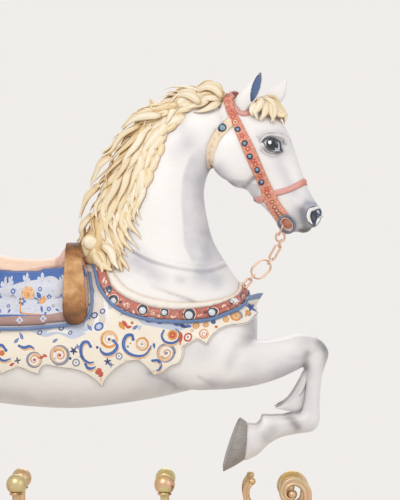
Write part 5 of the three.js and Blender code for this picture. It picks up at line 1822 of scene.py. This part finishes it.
for side in SIDES:
    for path in POLL_SIDE:
        spots = []
        for k, (x, z) in enumerate(path):
            at, way = BARE.ray_cast(Vector((x * MM, side * 0.4, z * MM)), Vector((0, -side, 0)))[:2]
            if at is None:
                at, way = BARE.find_nearest(Vector((x * MM, side * 0.02, z * MM)))[:2]
            spots.append(np.array(at + way * (0.006 + 0.004 * math.sin(k))))
        mane.append(lock(spots, 27, 13, (0, side, 0.5), 16, 0.5 * side))
print("locks with the poll's:", len(mane))

# %% [markdown]
# A few thin wisps run out over the neck below the rows, and some locks hang beside the pommel. Wisps lie on
# the skin, whose own slope says how each is turned.

# %% Wisps, and the locks beside the pommel
def slopes(spots):
    """The skin's outward directions nearest to some points."""
    return np.array([np.array(BARE.find_nearest(Vector(p))[1]) for p in spots])


for path in [[(221, 1210), (218, 1160), (176, 1126), (150, 1120)],
             [(190, 1140), (178, 1080), (146, 1030), (130, 1018)],
             [(160, 1060), (150, 1010), (133, 967), (110, 950)],
             [(140, 980), (138, 930), (116, 890), (96, 880)], [(112, 900), (108, 860), (84, 822), (66, 812)]]:
    flat = np.array(path, float)
    spots = on_body(flat[:, :2], -1)
    facing = slopes(spots)
    spots = spots + facing * np.array([12, 9, 7, 3])[:, None] * MM
    for mirror, turn in (((1, 1, 1), 0.6), ((1, -1, 1), -0.6)):
        mane.append(lock(spots * mirror, 17, 9, facing.mean(axis=0) * mirror, 14, turn))
for side in SIDES:
    for k, path in enumerate([
        [(14, 884), (30, 868), (40, 846), (64, 818)], [(24, 876), (44, 858), (52, 838), (46, 812)],
        [(4, 880), (16, 856), (30, 838), (34, 812)], [(30, 900), (58, 880), (68, 850), (84, 826)],
    ]):
        depths = side * np.array([66, 82, 98, 108]) + side * 4 * k
        spots = [(x * MM, y * MM, z * MM) for (x, z), y in zip(path, depths)]
        mane.append(lock(spots, 24, 12, (-0.2, side, 0.2), 15, side * (0.6 - 0.3 * k)))
piece("mane_bed", bed, HAIR, tint=0.32)
hair("mane", mane)
print("locks of the mane:", len(mane))

# %% [markdown]
# The forelock falls over the brow between the ears: ten locks on each side that lie on the skin, and a tuft
# of seven that parts over them.

# %% Forelock
FORELOCK = [  # x, z and how far proud, from root to tip
    [(502, 1328, 6), (486, 1310, 14), (477, 1294, 13), (484, 1278, 6)],
    [(508, 1330, 6), (497, 1308, 16), (488, 1290, 15), (496, 1272, 7)],
    [(514, 1330, 6), (514, 1306, 18), (510, 1286, 16), (499, 1268, 7)],
    [(520, 1330, 6), (530, 1306, 18), (530, 1284, 16), (544, 1256, 6)],
    [(530, 1326, 6), (538, 1302, 19), (542, 1282, 17), (533, 1262, 6)],
    [(538, 1326, 6), (554, 1306, 18), (562, 1286, 15), (556, 1262, 5)],
    [(546, 1320, 8), (564, 1304, 16), (574, 1288, 12), (571, 1264, 4)],
    [(498, 1336, 8), (520, 1324, 22), (537, 1302, 22), (522, 1280, 12)],
    [(512, 1336, 8), (542, 1322, 20), (560, 1304, 18), (558, 1280, 10)],
    [(494, 1330, 8), (500, 1316, 20), (490, 1298, 20), (482, 1288, 12)],
]
forelock = []
for side in SIDES:
    for path in FORELOCK:
        flat = np.array(path, float)
        flat[:, :2] += random.normal(0, 1.5, (4, 2))
        spots = on_head(flat[:, :2], side)
        facing = slopes(spots)
        spots = spots + facing * flat[:, 2:] * MM
        forelock.append(lock(spots, 25, 12, facing.mean(axis=0), 15, random.random() - 0.5))
for k in range(7):
    y = (k - 3) * 11
    spots = [(0.494, 0.6 * y * MM, 1.338), (0.53 + 0.004 * k, 0.9 * y * MM, 1.344 - 0.0008 * abs(y)),
             (0.564, y * MM, 1.318 - 0.0009 * abs(y)), (0.582, y * MM, 1.292), (0.577, 1.1 * y * MM, 1.262)]
    forelock.append(lock(spots, 20, 12, (0.6, 0.02 * y, 0.8), 16, random.random() - 0.5))
hair("forelock", forelock)
print("locks of the forelock:", len(forelock))

# %% [markdown]
# The tail is real horsehair on some carousels and carved on others. Here it is carved, as the mane is: a
# bed in the shape of the whole tail, and seven rings of eight locks that wind round it.

# %% Tail
TAIL = ribs([
    [-640, 800, -640, 756, 22], [-706, 778, -690, 728, 30], [-760, 700, -708, 676, 42],
    [-790, 600, -712, 600, 54], [-796, 500, -706, 496, 60], [-784, 390, -690, 386, 54],
    [-770, 300, -700, 292, 36],
])
tail_bed = loft(TAIL, 28, start=6, end=50)
tail = []
for ring_at in range(7):
    for k in range(8):
        angle = 2 * math.pi * (k + 0.5 * (ring_at % 2)) / 8
        u0 = 0.04 + 0.12 * ring_at
        odd = random.random()
        reach = 0.3 + 0.12 * odd
        points = []
        for t, lift in zip((0, 0.25, 0.5, 0.75, 1), (-6, 5, 8, 6, 0)):
            u = min(u0 + reach * t, 1.0)
            spot = on_rib(rib_at(TAIL, u), angle + 0.5 * math.sin(2.6 * t + 3 * odd), lift * MM)
            spot[2] -= max(u0 + reach * t - 1, 0) * 0.25
            points.append(spot)
        rib = rib_at(TAIL, u0 + reach / 2)
        facing = on_rib(rib, angle, 0.01) - on_rib(rib, angle, 0)
        tail.append(lock(points, 30 + 14 * odd, 15, facing, 12, 0.5 * (odd - 0.5)))
piece("tail_bed", tail_bed, HAIR, tint=0.2)
hair("tail", tail)
print("locks of the tail:", len(tail))

# %% [markdown]
# ## Ears, hooves and feathers
# An ear is a leaf of a few ribs that leans outwards. The right ear is turned, so its hollow shows. The
# hollow is pressed into the melted leaf along an oval, and the faces in it are painted dark blue, with a
# little painted shade in the hollow.

# %% Ears
def ear(table):
    """An ear as an upright leaf; the last value of each row is how far it leans from the middle plane."""
    rows = ribs([row[:5] for row in table], steps=5)
    lean = np.interp(np.linspace(0, 1, len(rows)), np.linspace(0, 1, len(table)), [row[5] for row in table])
    rows[:, 6] = lean * MM
    return loft(rows, 36, end=9)


EAR_RIGHT = [[460, 1290, 438, 1298, 16, -36], [480, 1312, 427, 1318, 20, -40],
             [494, 1337, 432, 1342, 20, -46], [506, 1369, 456, 1370, 16, -52],
             [511, 1396, 482, 1394, 10, -57], [509, 1410, 497, 1409, 5, -59]]
EAR_LEFT = [[490, 1334, 540, 1298, 17, 36], [514, 1356, 566, 1326, 17, 42], [545, 1375, 582, 1352, 13, 49],
            [568, 1391, 586, 1380, 7, 55], [579, 1398, 586, 1393, 4, 57]]


def dish(shape, middle, turn, wide, high, depth, side):
    """Presses a leaf-shaped hollow into the face that looks to `side`, and says which points are in it."""
    points, faces = shape
    facing = normals(points, faces)
    flat = points[:, [0, 2]] / MM - middle
    c, s = math.cos(turn), math.sin(turn)
    across, along = flat @ (c, s), flat @ (-s, c)
    room = np.clip(1 - (along / high) ** 2, 0, 1) ** 0.7 * wide + 1e-6
    inside = np.clip(1 - (across / room) ** 2, 0, 1) * (np.abs(along) < high) * (facing[:, 1] * side > 0.1)
    points = points - np.array([0, side, 0]) * (inside**0.6 * depth * MM)[:, None]
    return (points, faces), np.clip(inside * 3, 0, 1)


EAR_BLUE = painted("ear_blue_paint", "4a6690", 0.4)
right_ear = melt([ear(EAR_RIGHT)], 0.0024, 4)
right_ear, dark_right = dish(right_ear, (491, 1371), -0.30, 13, 46, 11, -1)
left_ear = melt([ear(EAR_LEFT)], 0.0024, 4)
left_ear, dark_left = dish(left_ear, (550, 1356), -0.9, 14, 38, 9, 1)
ear_shapes = weld(right_ear, left_ear)
dark = np.concatenate([dark_right, dark_left])
in_ear = [int(dark[face].mean() > 0.45) for face in ear_shapes[1]]
# painted shade in the ears' hollows
piece("ears", ear_shapes, [WHITE, EAR_BLUE], which=in_ear, lilac=dark * 0.3, brown=0)
print("blue faces in the ears:", sum(in_ear))

# %% [markdown]
# Hooves are painted grey, and each is a short loft that grows from the end of its leg. Behind each fore
# knee a feather of hair sweeps back: a carved blade with six tufts over it. The hind fetlocks have short
# tufts.

# %% Hooves and feathers
FORE_HOOF = [[458, 264, 464, 366, 44], [451, 258, 459, 369, 48], [420, 239, 451, 375, 53],
             [394, 226, 444, 379, 54]]
HIND_HOOF = [[-476, 106, -572, 100, 43], [-470, 96, -573, 92, 46], [-453, 60.6, -575, 60.6, 55]]
FEATHER = [[648, 540, 640, 520, 9], [644, 512, 624, 482, 14], [644, 480, 604, 446, 17],
           [640, 444, 578, 430, 16], [632, 414, 556, 419, 12], [618, 402, 547, 415, 7]]
for side, name in SIDES.items():
    y = side * LEG_OUT
    stride = HIND_STRIDE if side > 0 else 0
    piece(f"fore_hoof_{name}", loft(ribs(FORE_HOOF, y), 40, out=0.001, end=9), HOOF)
    piece(f"hind_hoof_{name}", loft(ribs(strided(HIND_HOOF, stride), y, steps=6), 40), HOOF)
    tufts = [loft(ribs(FEATHER, y), 24, end=3)]
    for k in range(6):
        odd = random.random()
        spread = (k - 2.5) * 6.5
        path = [(643, 532 - 7 * k), (630, 490 - 9 * k), (612, 456 - 7 * k), (588, 433 - 4 * k),
                (546 + 8 * odd + 3 * abs(k - 2.5), 420 - k)]
        points = [(x * MM, (y + spread * (1.1 - 0.2 * i)) * MM, z * MM) for i, (x, z) in enumerate(path)]
        tufts.append(lock(points, 22, 13, (-0.3, side, 0.3), 14, taper=0.8))
    tuft = weld(*tufts)
    # painted shade: the feather is greyer all over
    piece(f"feather_{name}", tuft, WHITE, lilac=0.22, brown=0)
    fetlock = []
    for k in range(6):
        x = stride - 612
        spread = (k - 2.5) * 9
        points = [(x * MM, (y + spread * 0.5) * MM, 0.168), ((x - 12) * MM, (y + spread * 0.9) * MM, 0.14),
                  ((x - 8) * MM, (y + spread) * MM, 0.106)]
        fetlock.append(lock(points, 20, 12, (-1, 0.05 * spread, 0), 10))
    shape = weld(*fetlock)
    # painted shade: the fetlock's tufts are greyer all over
    piece(f"fetlock_{name}", shape, WHITE, lilac=0.3, brown=0.15)
print("feather:", len(tuft[1]), "faces; fetlock:", len(shape[1]), "faces")


# %% [markdown]
# ## Scroll before the pommel
# The mane ends in a carved roll across the withers, which the strap lies against. It is a short thick
# barrel with soft rims, and a tapering curl that runs down from each end. A small boss sits in the middle
# of each end.

# %% Pommel scroll
def knob_shape(sides=40):
    angles = around(sides)
    rings = []
    for y, share in [(-64, 0.72), (-63, 0.86), (-58, 0.97), (-50, 1), (0, 1), (50, 1), (58, 0.97), (63, 0.86),
                     (64, 0.72)]:
        x, z = -3 + 30 * share * np.cos(angles), 894 + 39 * share * np.sin(angles)
        rings.append(np.stack([x, np.full(sides, y), z], axis=1) * MM)
    return tube(rings)


knob_parts = [knob_shape()]
for side, name in SIDES.items():
    curl = ribs([[12, 900, -10, 868, 20], [28, 872, -4, 850, 20], [44, 850, 22, 830, 14],
                 [60, 832, 50, 822, 8]])
    curl[:, 6] = np.interp(np.linspace(0, 1, len(curl)), (0, 0.33, 0.67, 1), (56, 68, 96, 112)) * MM * side
    knob_parts.append(loft(curl, 20, end=10))
    boss = ball((-3, side * 66, 906), (21, 7, 21))
    piece(f"pommel_boss_{name}", boss, HAIR, tint=0.7)
knob_skin = melt(knob_parts, 0.0035, 3)
piece("pommel_scroll", knob_skin, HAIR, tint=0.45)
print("pommel scroll:", len(knob_skin[1]), "faces")

# %% [markdown]
# ## Jewels
# Pearls and blue glass are smooth domes in turned rims. Each is seated square on the strap or the collar
# beneath it, whose slope is measured with a few rays. A jewel set by hand would have to be moved whenever the
# strap changes, and rays find its seat again by themselves.

# %% Turning and seating
def outward(shape):
    """A closed shape with its faces turned outward."""
    points, faces = shape
    middle = points.mean(axis=0)
    volume = 0
    for face in faces:
        a, b, c = (points[i] - middle for i in face[:3])
        volume += np.dot(a, np.cross(b, c))
    return (points, faces) if volume > 0 else (points, [face[::-1] for face in faces])


def turned(profile, at, facing, sides=24, start=0.0):
    """A lathe-turned form: `profile` gives its radius and its height above `at`, in mm."""
    facing = np.asarray(facing, float) / np.linalg.norm(facing)
    across = np.cross(facing, (0, 0, 1) if abs(facing[2]) < 0.9 else (1, 0, 0))
    across /= np.linalg.norm(across)
    up = np.cross(facing, across)
    angles = around(sides) + start
    spokes = np.outer(np.cos(angles), across) + np.outer(np.sin(angles), up)
    rings = [at + (spokes * r + facing * h) * MM for r, h in profile]
    return outward(tube(rings, at + facing * profile[0][1] * MM, at + facing * profile[-1][1] * MM))


def skin_of(*names):
    """What rays can meet of pieces already made."""
    shapes = []
    for name in names:
        mesh = bpy.data.objects[name].data
        points = np.zeros(len(mesh.vertices) * 3)
        mesh.vertices.foreach_get("co", points)
        shapes.append((points.reshape(-1, 3), [list(p.vertices) for p in mesh.polygons]))
    points, faces = weld(*shapes)
    return BVHTree.FromPolygons(points.tolist(), faces)


TRAPPINGS = ("torso", "neck_and_head", "collar_band", "cheekpiece", "browband", "throat_latch", "crown_strap")
TRAPPED = skin_of(*TRAPPINGS)


def seat_at(x, z, r, side):
    """Where a jewel sits and the way it faces: the middle of five rays' hits, and their plane."""
    hits = []
    for dx, dz in [(0, 0), (r, 0), (0, r), (-r, 0), (0, -r)]:
        spot = TRAPPED.ray_cast(Vector(((x + dx) * MM, side * 0.5, (z + dz) * MM)), Vector((0, -side, 0)))[0]
        hits.append(np.array(spot))
    facing = np.cross(hits[1] - hits[3], hits[2] - hits[4])
    return np.mean(hits, axis=0), facing * np.sign(facing[1] * side)


def jewel(x, z, r, rise, side, sides=28, start=0.0):
    """A dome and its rim."""
    at, facing = seat_at(x, z, r * 0.8, side)
    bow = [(r * 0.86 * math.cos(a), 1.2 + (rise - 1.2) * math.sin(a)) for a in np.linspace(0, 1.5, 8)]
    dome = turned([(r * 0.86, -2), *bow], at, facing, sides, start)
    outline = [(0.8, -3), (1.08, -3), (1.1, 1.2), (1.02, 2.4), (0.92, 2.4), (0.86, 1.0)]
    rim = turned([(r * share, h) for share, h in outline], at, facing, sides, start)
    return dome, rim


def jewels(name, table, finishes, slot, stands_for):
    """A table's jewels on both sides: domes with the first finish and rims with the second."""
    shapes, which = [], []
    for row in table:
        for side in SIDES:
            for k, shape in enumerate(jewel(*row[:4], side, *row[4:])):
                shapes.append(shape)
                which += [k] * len(shape[1])
    return piece(name, weld(*shapes), finishes, slot=slot, stands_for=stands_for, which=which)


print("pieces that jewels can sit on:", len(TRAPPINGS))

# %% [markdown]
# The collar has five pearls and a small square one, and the bridle five blue stones, with one more on the
# throat latch and one at the top of the collar. All pearls are one piece and all blue stones another.

# %% Pearls and blue stones
def both_sides(*names):
    """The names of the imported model's nodes on both sides."""
    return [name.format(side) for name in names for side in SIDES.values()]


PEARL = glass("pearl_glass", "dfe3e2", 0.18, dark=0.72)
BLUE_GLASS = glass("blue_glass", "8fb0c2", 0.06, dark=0.5)
RIM = glass("dark_rim", "3c4658", 0.35, 0.6, 0.6)
pearls = [(x, z, r, 6.5) for x, z, r in STUDS] + [(417, 731, 8.5, 4.5, 4)]
jewels("pearls", pearls, [PEARL, RIM], "pearl",
       both_sides(*[f"collar_stud_{{}}_{k}" for k in range(1, 6)], "collar_diamond_{}"))
gems = [(x, z, 6.2, 5) for x, z in CABOCHONS] + [(391, 1250, 10.5, 6), (55, 764, 6.5, 4.5)]
jewels("blue_gems", gems, [BLUE_GLASS, RIM], "blue_glass",
       both_sides(*[f"bridle_gem_{{}}_{k}" for k in range(1, 6)], "throat_gem_{}", "collar_gem_{}"))
print("jewels on each side:", len(pearls) + len(gems))

# %% [markdown]
# ## Bit rings and chain reins
# Real metal. A dark ring lies against each jaw, and from it a rose-gold chain runs down to the front of the
# collar: flat links, each held to the one before by a smaller one that stands edge-on. The metals are rubbed
# bright on their edges, which the Pointiness of the mesh finds.

# %% Metals and a link
def metal(name, code, worn, rough, scale=90.0):
    """Drawn wire, rubbed bright where links touch."""
    made, add, shader = material(name)
    place = add("TexCoord").outputs["Object"]
    mottle = noise(add, place, scale, 5.0)
    edge = ranged(add, add("NewGeometry").outputs["Pointiness"], 0.5, 0.58)
    bright = calc(add, "MULTIPLY", calc(add, "ADD", edge, mottle), 0.6)
    set_shader(shader, Base_Color=mixed(add, bright, srgb(code), srgb(worn)), Metallic=0.85,
               Roughness=ranged(add, mottle, to_low=rough, to_high=rough + 0.2))
    bumped(add, shader, mottle, 0.15, 0.0005)
    return made


def link(x, y, z, long, wide, wire, tilt, edge_on=False, bends=14, sides=12):
    """A link of round wire: two half circles joined by straights."""
    turn, tip = [], []
    for way in (1, -1):
        for a in np.linspace(0, math.pi, bends + 1) - way * math.pi / 2:
            out = np.array([math.cos(a), 0, math.sin(a)])
            turn.append(np.array([way * (long - wide), 0, 0]) + out * wide)
            tip.append(out)
    angles = around(sides)
    rings = np.array([m + wire * (np.outer(np.cos(angles), o) + np.outer(np.sin(angles), (0, 1, 0)))
                      for m, o in zip(turn, tip)]).reshape(-1, 3)
    if edge_on:
        rings = rings[:, [0, 2, 1]] * (1, -1, 1)
    c, s = math.cos(tilt), math.sin(tilt)
    run, out, up = rings.T
    spun = np.stack([run * c - up * s, out, run * s + up * c], axis=1)
    faces = []
    for i in range(len(turn)):
        p, q = i * sides, (i + 1) % len(turn) * sides
        faces += [[p + k, p + (k + 1) % sides, q + (k + 1) % sides, q + k] for k in range(sides)]
    return outward(((spun + (x, y, z)) * MM, faces))


IRON = metal("bit_iron", "3b4150", "8d93a2", 0.3)
ROSE_GOLD = metal("rein_metal", "d9a07c", "f4d6bd", 0.24)
print("a link:", len(link(0, 0, 0, 20, 10, 2, 0)[1]), "faces")

# %% [markdown]
# The rein hangs in a curve from the bit to the collar. The table gives the joints between its links, and each
# link is laid between two of them. A connector stands edge-on at each joint and turns halfway between its
# neighbours.

# %% Bit rings and reins
BIT = {"x": 583, "z": 962, "long": 26, "wide": 19, "wire": 4.5, "tilt": -0.9}
REIN = [(566.5, 945.6, 49, "snap", 13), (564, 905, 47, "long_link", 8), (534, 852, 44, "ring", 21),
        (480, 803, 40, "end_link", 7), (455, 774, 37, "", 0)]
HOLD = 4.6  # from a connector's middle to the wire of the link that it holds
for side, name in SIDES.items():
    ring = link(y=side * 49, **BIT)
    lining = link(583, side * 49, 962, 20.5, 13.5, 2.0, -0.9)
    which = [0] * len(ring[1]) + [1] * len(lining[1])
    piece(f"bit_ring_{name}", weld(ring, lining), [IRON, ROSE_GOLD], slot="bit_iron", which=which,
          stands_for=[f"bit_ring_{name}"])
    links, replaced = [], []
    for i in range(4):
        (x0, z0, y0, called, wide), (x1, z1, y1, _, _) = REIN[i], REIN[i + 1]
        length, tilt = math.hypot(x1 - x0, z1 - z0), math.atan2(z0 - z1, x0 - x1)
        first, final = (HOLD if i else HOLD + 1.6), (HOLD if i < 3 else 0)
        along = (first + length - final) / 2 / length
        links.append(link(x0 + (x1 - x0) * along, side * (y0 + y1) / 2, z0 + (z1 - z0) * along,
                          (length - first - final) / 2, wide, 2.6, tilt))
        before = REIN[i - 1] if i else (BIT["x"], BIT["z"])
        size = (11.5, 7.5, 2.1) if i else (17, 9.5, 2.3)
        links.append(link(x0, side * y0, z0, *size, math.atan2(before[1] - z1, before[0] - x1), True))
        replaced += [f"rein_{called}_{name}", f"rein_connector_{i + 1}_{name}"]
    piece(f"rein_{name}", weld(*links), ROSE_GOLD, slot="rein_metal", stands_for=replaced)
print("links on each side:", len(links))

# %% [markdown]
# ## Stand
# A painted plinth with a moulded edge, four gilded scrolls at its ends and four ball finials between them.
# Gold leaf is laid in small squares over red clay, and both show: the squares as slight changes of tone,
# and the clay where an edge is rubbed.

# %% Gold leaf
def gold_leaf():
    """Gold leaf over red clay, rubbed through a little on the edges and laid in squares."""
    made, add, shader = material("gold_leaf")
    place = add("TexCoord").outputs["Object"]
    squares = add("TexVoronoi", {"Vector": place, "Scale": 13.0}, distance="CHEBYCHEV").outputs["Color"]
    laid = mixed(add, 0.16, srgb("dfc48e"), squares, "OVERLAY")
    worn = noise(add, place, 30.0, 9.0, 0.7)
    edge = ranged(add, add("NewGeometry").outputs["Pointiness"], 0.5, 0.62)
    bare = ranged(add, calc(add, "ADD", worn, calc(add, "MULTIPLY", edge, 0.3)), 0.66, 0.76)
    # dust and painted shade in the hollows
    aged_and_shaded = use(add, dust_and_shade, Colour=mixed(add, bare, laid, srgb("8a4a2f")), Dust=srgb("8c6a3a"), Strength=0.7)
    set_shader(shader, Base_Color=aged_and_shaded["Colour"], Roughness=ranged(add, worn, to_low=0.26, to_high=0.5),
               Metallic=calc(add, "SUBTRACT", 0.8, calc(add, "MULTIPLY", bare, 0.7)))
    bumped(add, shader, worn, 0.2, 0.0008)
    return made


GOLD = gold_leaf()
print("gold:", GOLD.name)

# %% [markdown]
# The plinth is a moulding run round a rectangle with round corners: each row of its profile says how far in
# from the edge and how high a ring lies. The faces of the small bead are gilded.

# %% Plinth
base_low, base_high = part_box("base")
BASE_LONG, BASE_WIDE = base_high[0] - base_low[0], base_high[1] - base_low[1]


def plan_ring(shrink, z, corner=0.07, bends=9):
    """A rectangle with round corners, in metres."""
    corner, made = corner - shrink, []
    x, y = BASE_LONG / 2 - shrink - corner, BASE_WIDE / 2 - shrink - corner
    for k, (a, b) in enumerate([(1, 1), (-1, 1), (-1, -1), (1, -1)]):
        for t in np.linspace(k * math.pi / 2, (k + 1) * math.pi / 2, bends):
            made.append((a * x + corner * math.cos(t), b * y + corner * math.sin(t), z))
    return np.array(made)


MOULDING = [(4, 0), (1, 1.5), (0, 5), (0, 30), (1, 33), (4, 35.5), (9, 36.5), (13, 38), (15, 42), (14.5, 46),
            (12, 48), (8.5, 49.5), (7.5, 53), (8.5, 56.5), (11, 58.2), (13, 58.6), (16, 60)]
plan_rings = [plan_ring(inset * MM, z * MM) for inset, z in MOULDING]
for inset in (60, 120, 180):
    plan_rings.append(plan_ring(0.069, 0.060) * (1 - (inset - 60) / 240, 1 - (inset - 60) / 150, 1))
plinth = outward(tube(plan_rings, (0, 0, 0), (0, 0, PLINTH_TOP)))
in_bead = [int(10 <= (min(face) // len(plan_rings[0])) <= 14) for face in plinth[1]]
piece("plinth", plinth, [STONE, GOLD], slot="plinth", which=in_bead, stands_for=["base"])
print("gilded faces of the plinth:", sum(in_bead))

# %% [markdown]
# A scroll is one stem that winds into a volute, with a channel down each face. A finial is turned on a lathe:
# its profile is a foot, a waist, a collar and a ball.

# %% Scrolls and finials
def scroll_shape():
    """A stem that winds into a volute, with a bead at its tip and its heart, and a leafy foot."""
    turns = []
    for t in np.arange(11) / 11:
        a = math.pi * (1.5 + 2.2 * (1 - t))
        turns.append((597 + (14 + 40 * t) * math.cos(a), 162 + (14 + 44 * t) * math.sin(a)))
    path = sweep([*turns, (560, 92), (520, 80), (486, 98), (464, 138), (462, 176), (473, 196)], 7)
    ahead = headings(path)
    angles = around(24)
    c, s = np.cos(angles), np.sin(angles)
    across = np.sign(c) * np.abs(c) ** 0.7
    out = np.sign(s) * np.abs(s) ** 0.6 * (1 - 0.3 * np.exp(-((c / 0.3) ** 2)))
    rings = []
    for (x, z), (ax, az), t in zip(path, ahead, np.linspace(0, 1, len(path))):
        r = 14 - 9 * abs(t - 0.45)
        rings.append(np.stack([x + az * r * across, out * 16.5, z - ax * r * across], axis=1) * MM)
    stem = outward(tube(rings))
    foot = [ball((590, 0, 72), (60, 20, 20)), ball((556, 0, 74), (30, 22, 18)),
            ball((626, 0, 74), (26, 22, 18))]
    return weld(stem, ball((477, 0, 201), (12, 17, 12)), ball((597, 0, 162), (15, 20, 15)), *foot)


FINIAL = [(35, 0), (36, 2), (36, 6), (34, 9), (30, 11), (29, 14), (24, 19), (17, 25), (14, 32), (13, 44),
          (12, 60), (11.5, 80), (12, 94), (15, 99), (20, 101), (21, 104), (19, 107), (16, 109), (17, 111)]
FINIAL += [(30.5 * math.sin(a), 131.5 - 30.5 * math.cos(a)) for a in np.linspace(0.75, 3.1, 18)]
scroll_points, scroll_faces = scroll_shape()
for side, name in SIDES.items():
    for end in (-1, 1):
        place = f"{name}_{'rear' if end < 0 else 'front'}"
        spot = (scroll_points * (end, end, 1) + (0, side * 0.168, 0), scroll_faces)
        piece(f"base_scroll_{place}", spot, GOLD, slot="gilding", stands_for=[f"base_scroll_{place}"])
        ball_foot = np.array([end * 0.219, side * 0.168, PLINTH_TOP])
        piece(f"base_finial_{place}", turned(FINIAL, ball_foot, (0, 0, 1), 32), GOLD, slot="gilding",
              stands_for=[f"base_finial_{place}"])
print("scroll:", len(scroll_faces), "faces")

# %% [markdown]
# ## Studio
# The stand rests on a pale round floor, which takes its shadow. The floor has no parent, body or slot, so
# it isn't part of the horse.

# %% Floor
def floor_disc(radius=2.05, sides=96):
    angles = around(sides)
    rings = [np.stack([np.cos(angles) * r, np.sin(angles) * r, np.full(sides, z)], axis=1)
             for r, z in ((radius, -0.012), (radius, -0.001), (radius * 0.5, 0))]
    return tube(rings, (0, 0, -0.012), (0, 0, 0))


# a little painted shade where ambient occlusion finds the floor shut in, at the foot of the plinth
FLOOR_PAINT = painted("studio_floor", "eeebe8", 0.05, 6.0, 0.7, 0.1)
floor = piece("studio_floor", floor_disc(), FLOOR_PAINT)
floor.parent = None
del floor["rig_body"], floor["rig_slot"]
print("floor:", len(floor.data.polygons), "faces")


# %% [markdown]
# A soft key light comes from the front, with a cooler fill and a back light. The world is pale to the
# camera and a little dimmer as light, so that white paint doesn't burn out.

# %% Light
def lamp(name, at, aim, size, power, colour=(1, 1, 1)):
    data = bpy.data.lights.new(name, "AREA")
    data.size, data.energy, data.color = size, power, colour
    made = bpy.data.objects.new(name, data)
    made.location = at
    made.rotation_euler = (Vector(aim) - Vector(at)).to_track_quat("-Z", "Y").to_euler()
    bpy.context.scene.collection.objects.link(made)


world = bpy.data.worlds.new("studio")
bpy.context.scene.world = world
world.use_nodes = True
world.node_tree.nodes.clear()
add = nodes_of(world.node_tree)
seen = add("Background", {"Color": (*srgb("f0edea"), 1), "Strength": 1.0})
lit = add("Background", {"Color": (0.95, 0.96, 1, 1), "Strength": 0.74})
to_camera = add("LightPath").outputs["Is Camera Ray"]
shown = add("MixShader", {"Fac": to_camera, 1: lit.outputs[0], 2: seen.outputs[0]})
add("OutputWorld", {"Surface": shown.outputs[0]})
lamp("key", (-1.6, -4.2, 4.2), (0.1, 0, 0.8), 2.6, 118, (1, 0.97, 0.93))
lamp("fill", (4.2, -3.4, 2.2), (0.3, 0, 0.7), 3.2, 40, (0.93, 0.95, 1))
lamp("back", (0.5, 4.4, 3.4), (0.1, 0, 0.8), 3.0, 44)
print("lamps:", len(bpy.data.lights))

# %% [markdown]
# The camera looks straight from the side with a long lens, so the horse shows nearly without perspective.

# %% Camera
lens = bpy.data.cameras.new("camera")
camera = bpy.data.objects.new("camera", lens)
bpy.context.scene.collection.objects.link(camera)
bpy.context.scene.camera = camera
CAMERA_FAR = 12.0
camera.location = (0.324, -CAMERA_FAR, 0.885)
camera.rotation_euler = (math.pi / 2, 0, 0)
lens.sensor_fit = "VERTICAL"
lens.sensor_height = 36
lens.lens = 36 * CAMERA_FAR / 1.5
lens.clip_end = 60
bpy.context.scene.view_settings.view_transform = "Standard"
print("lens:", lens.lens, "mm")
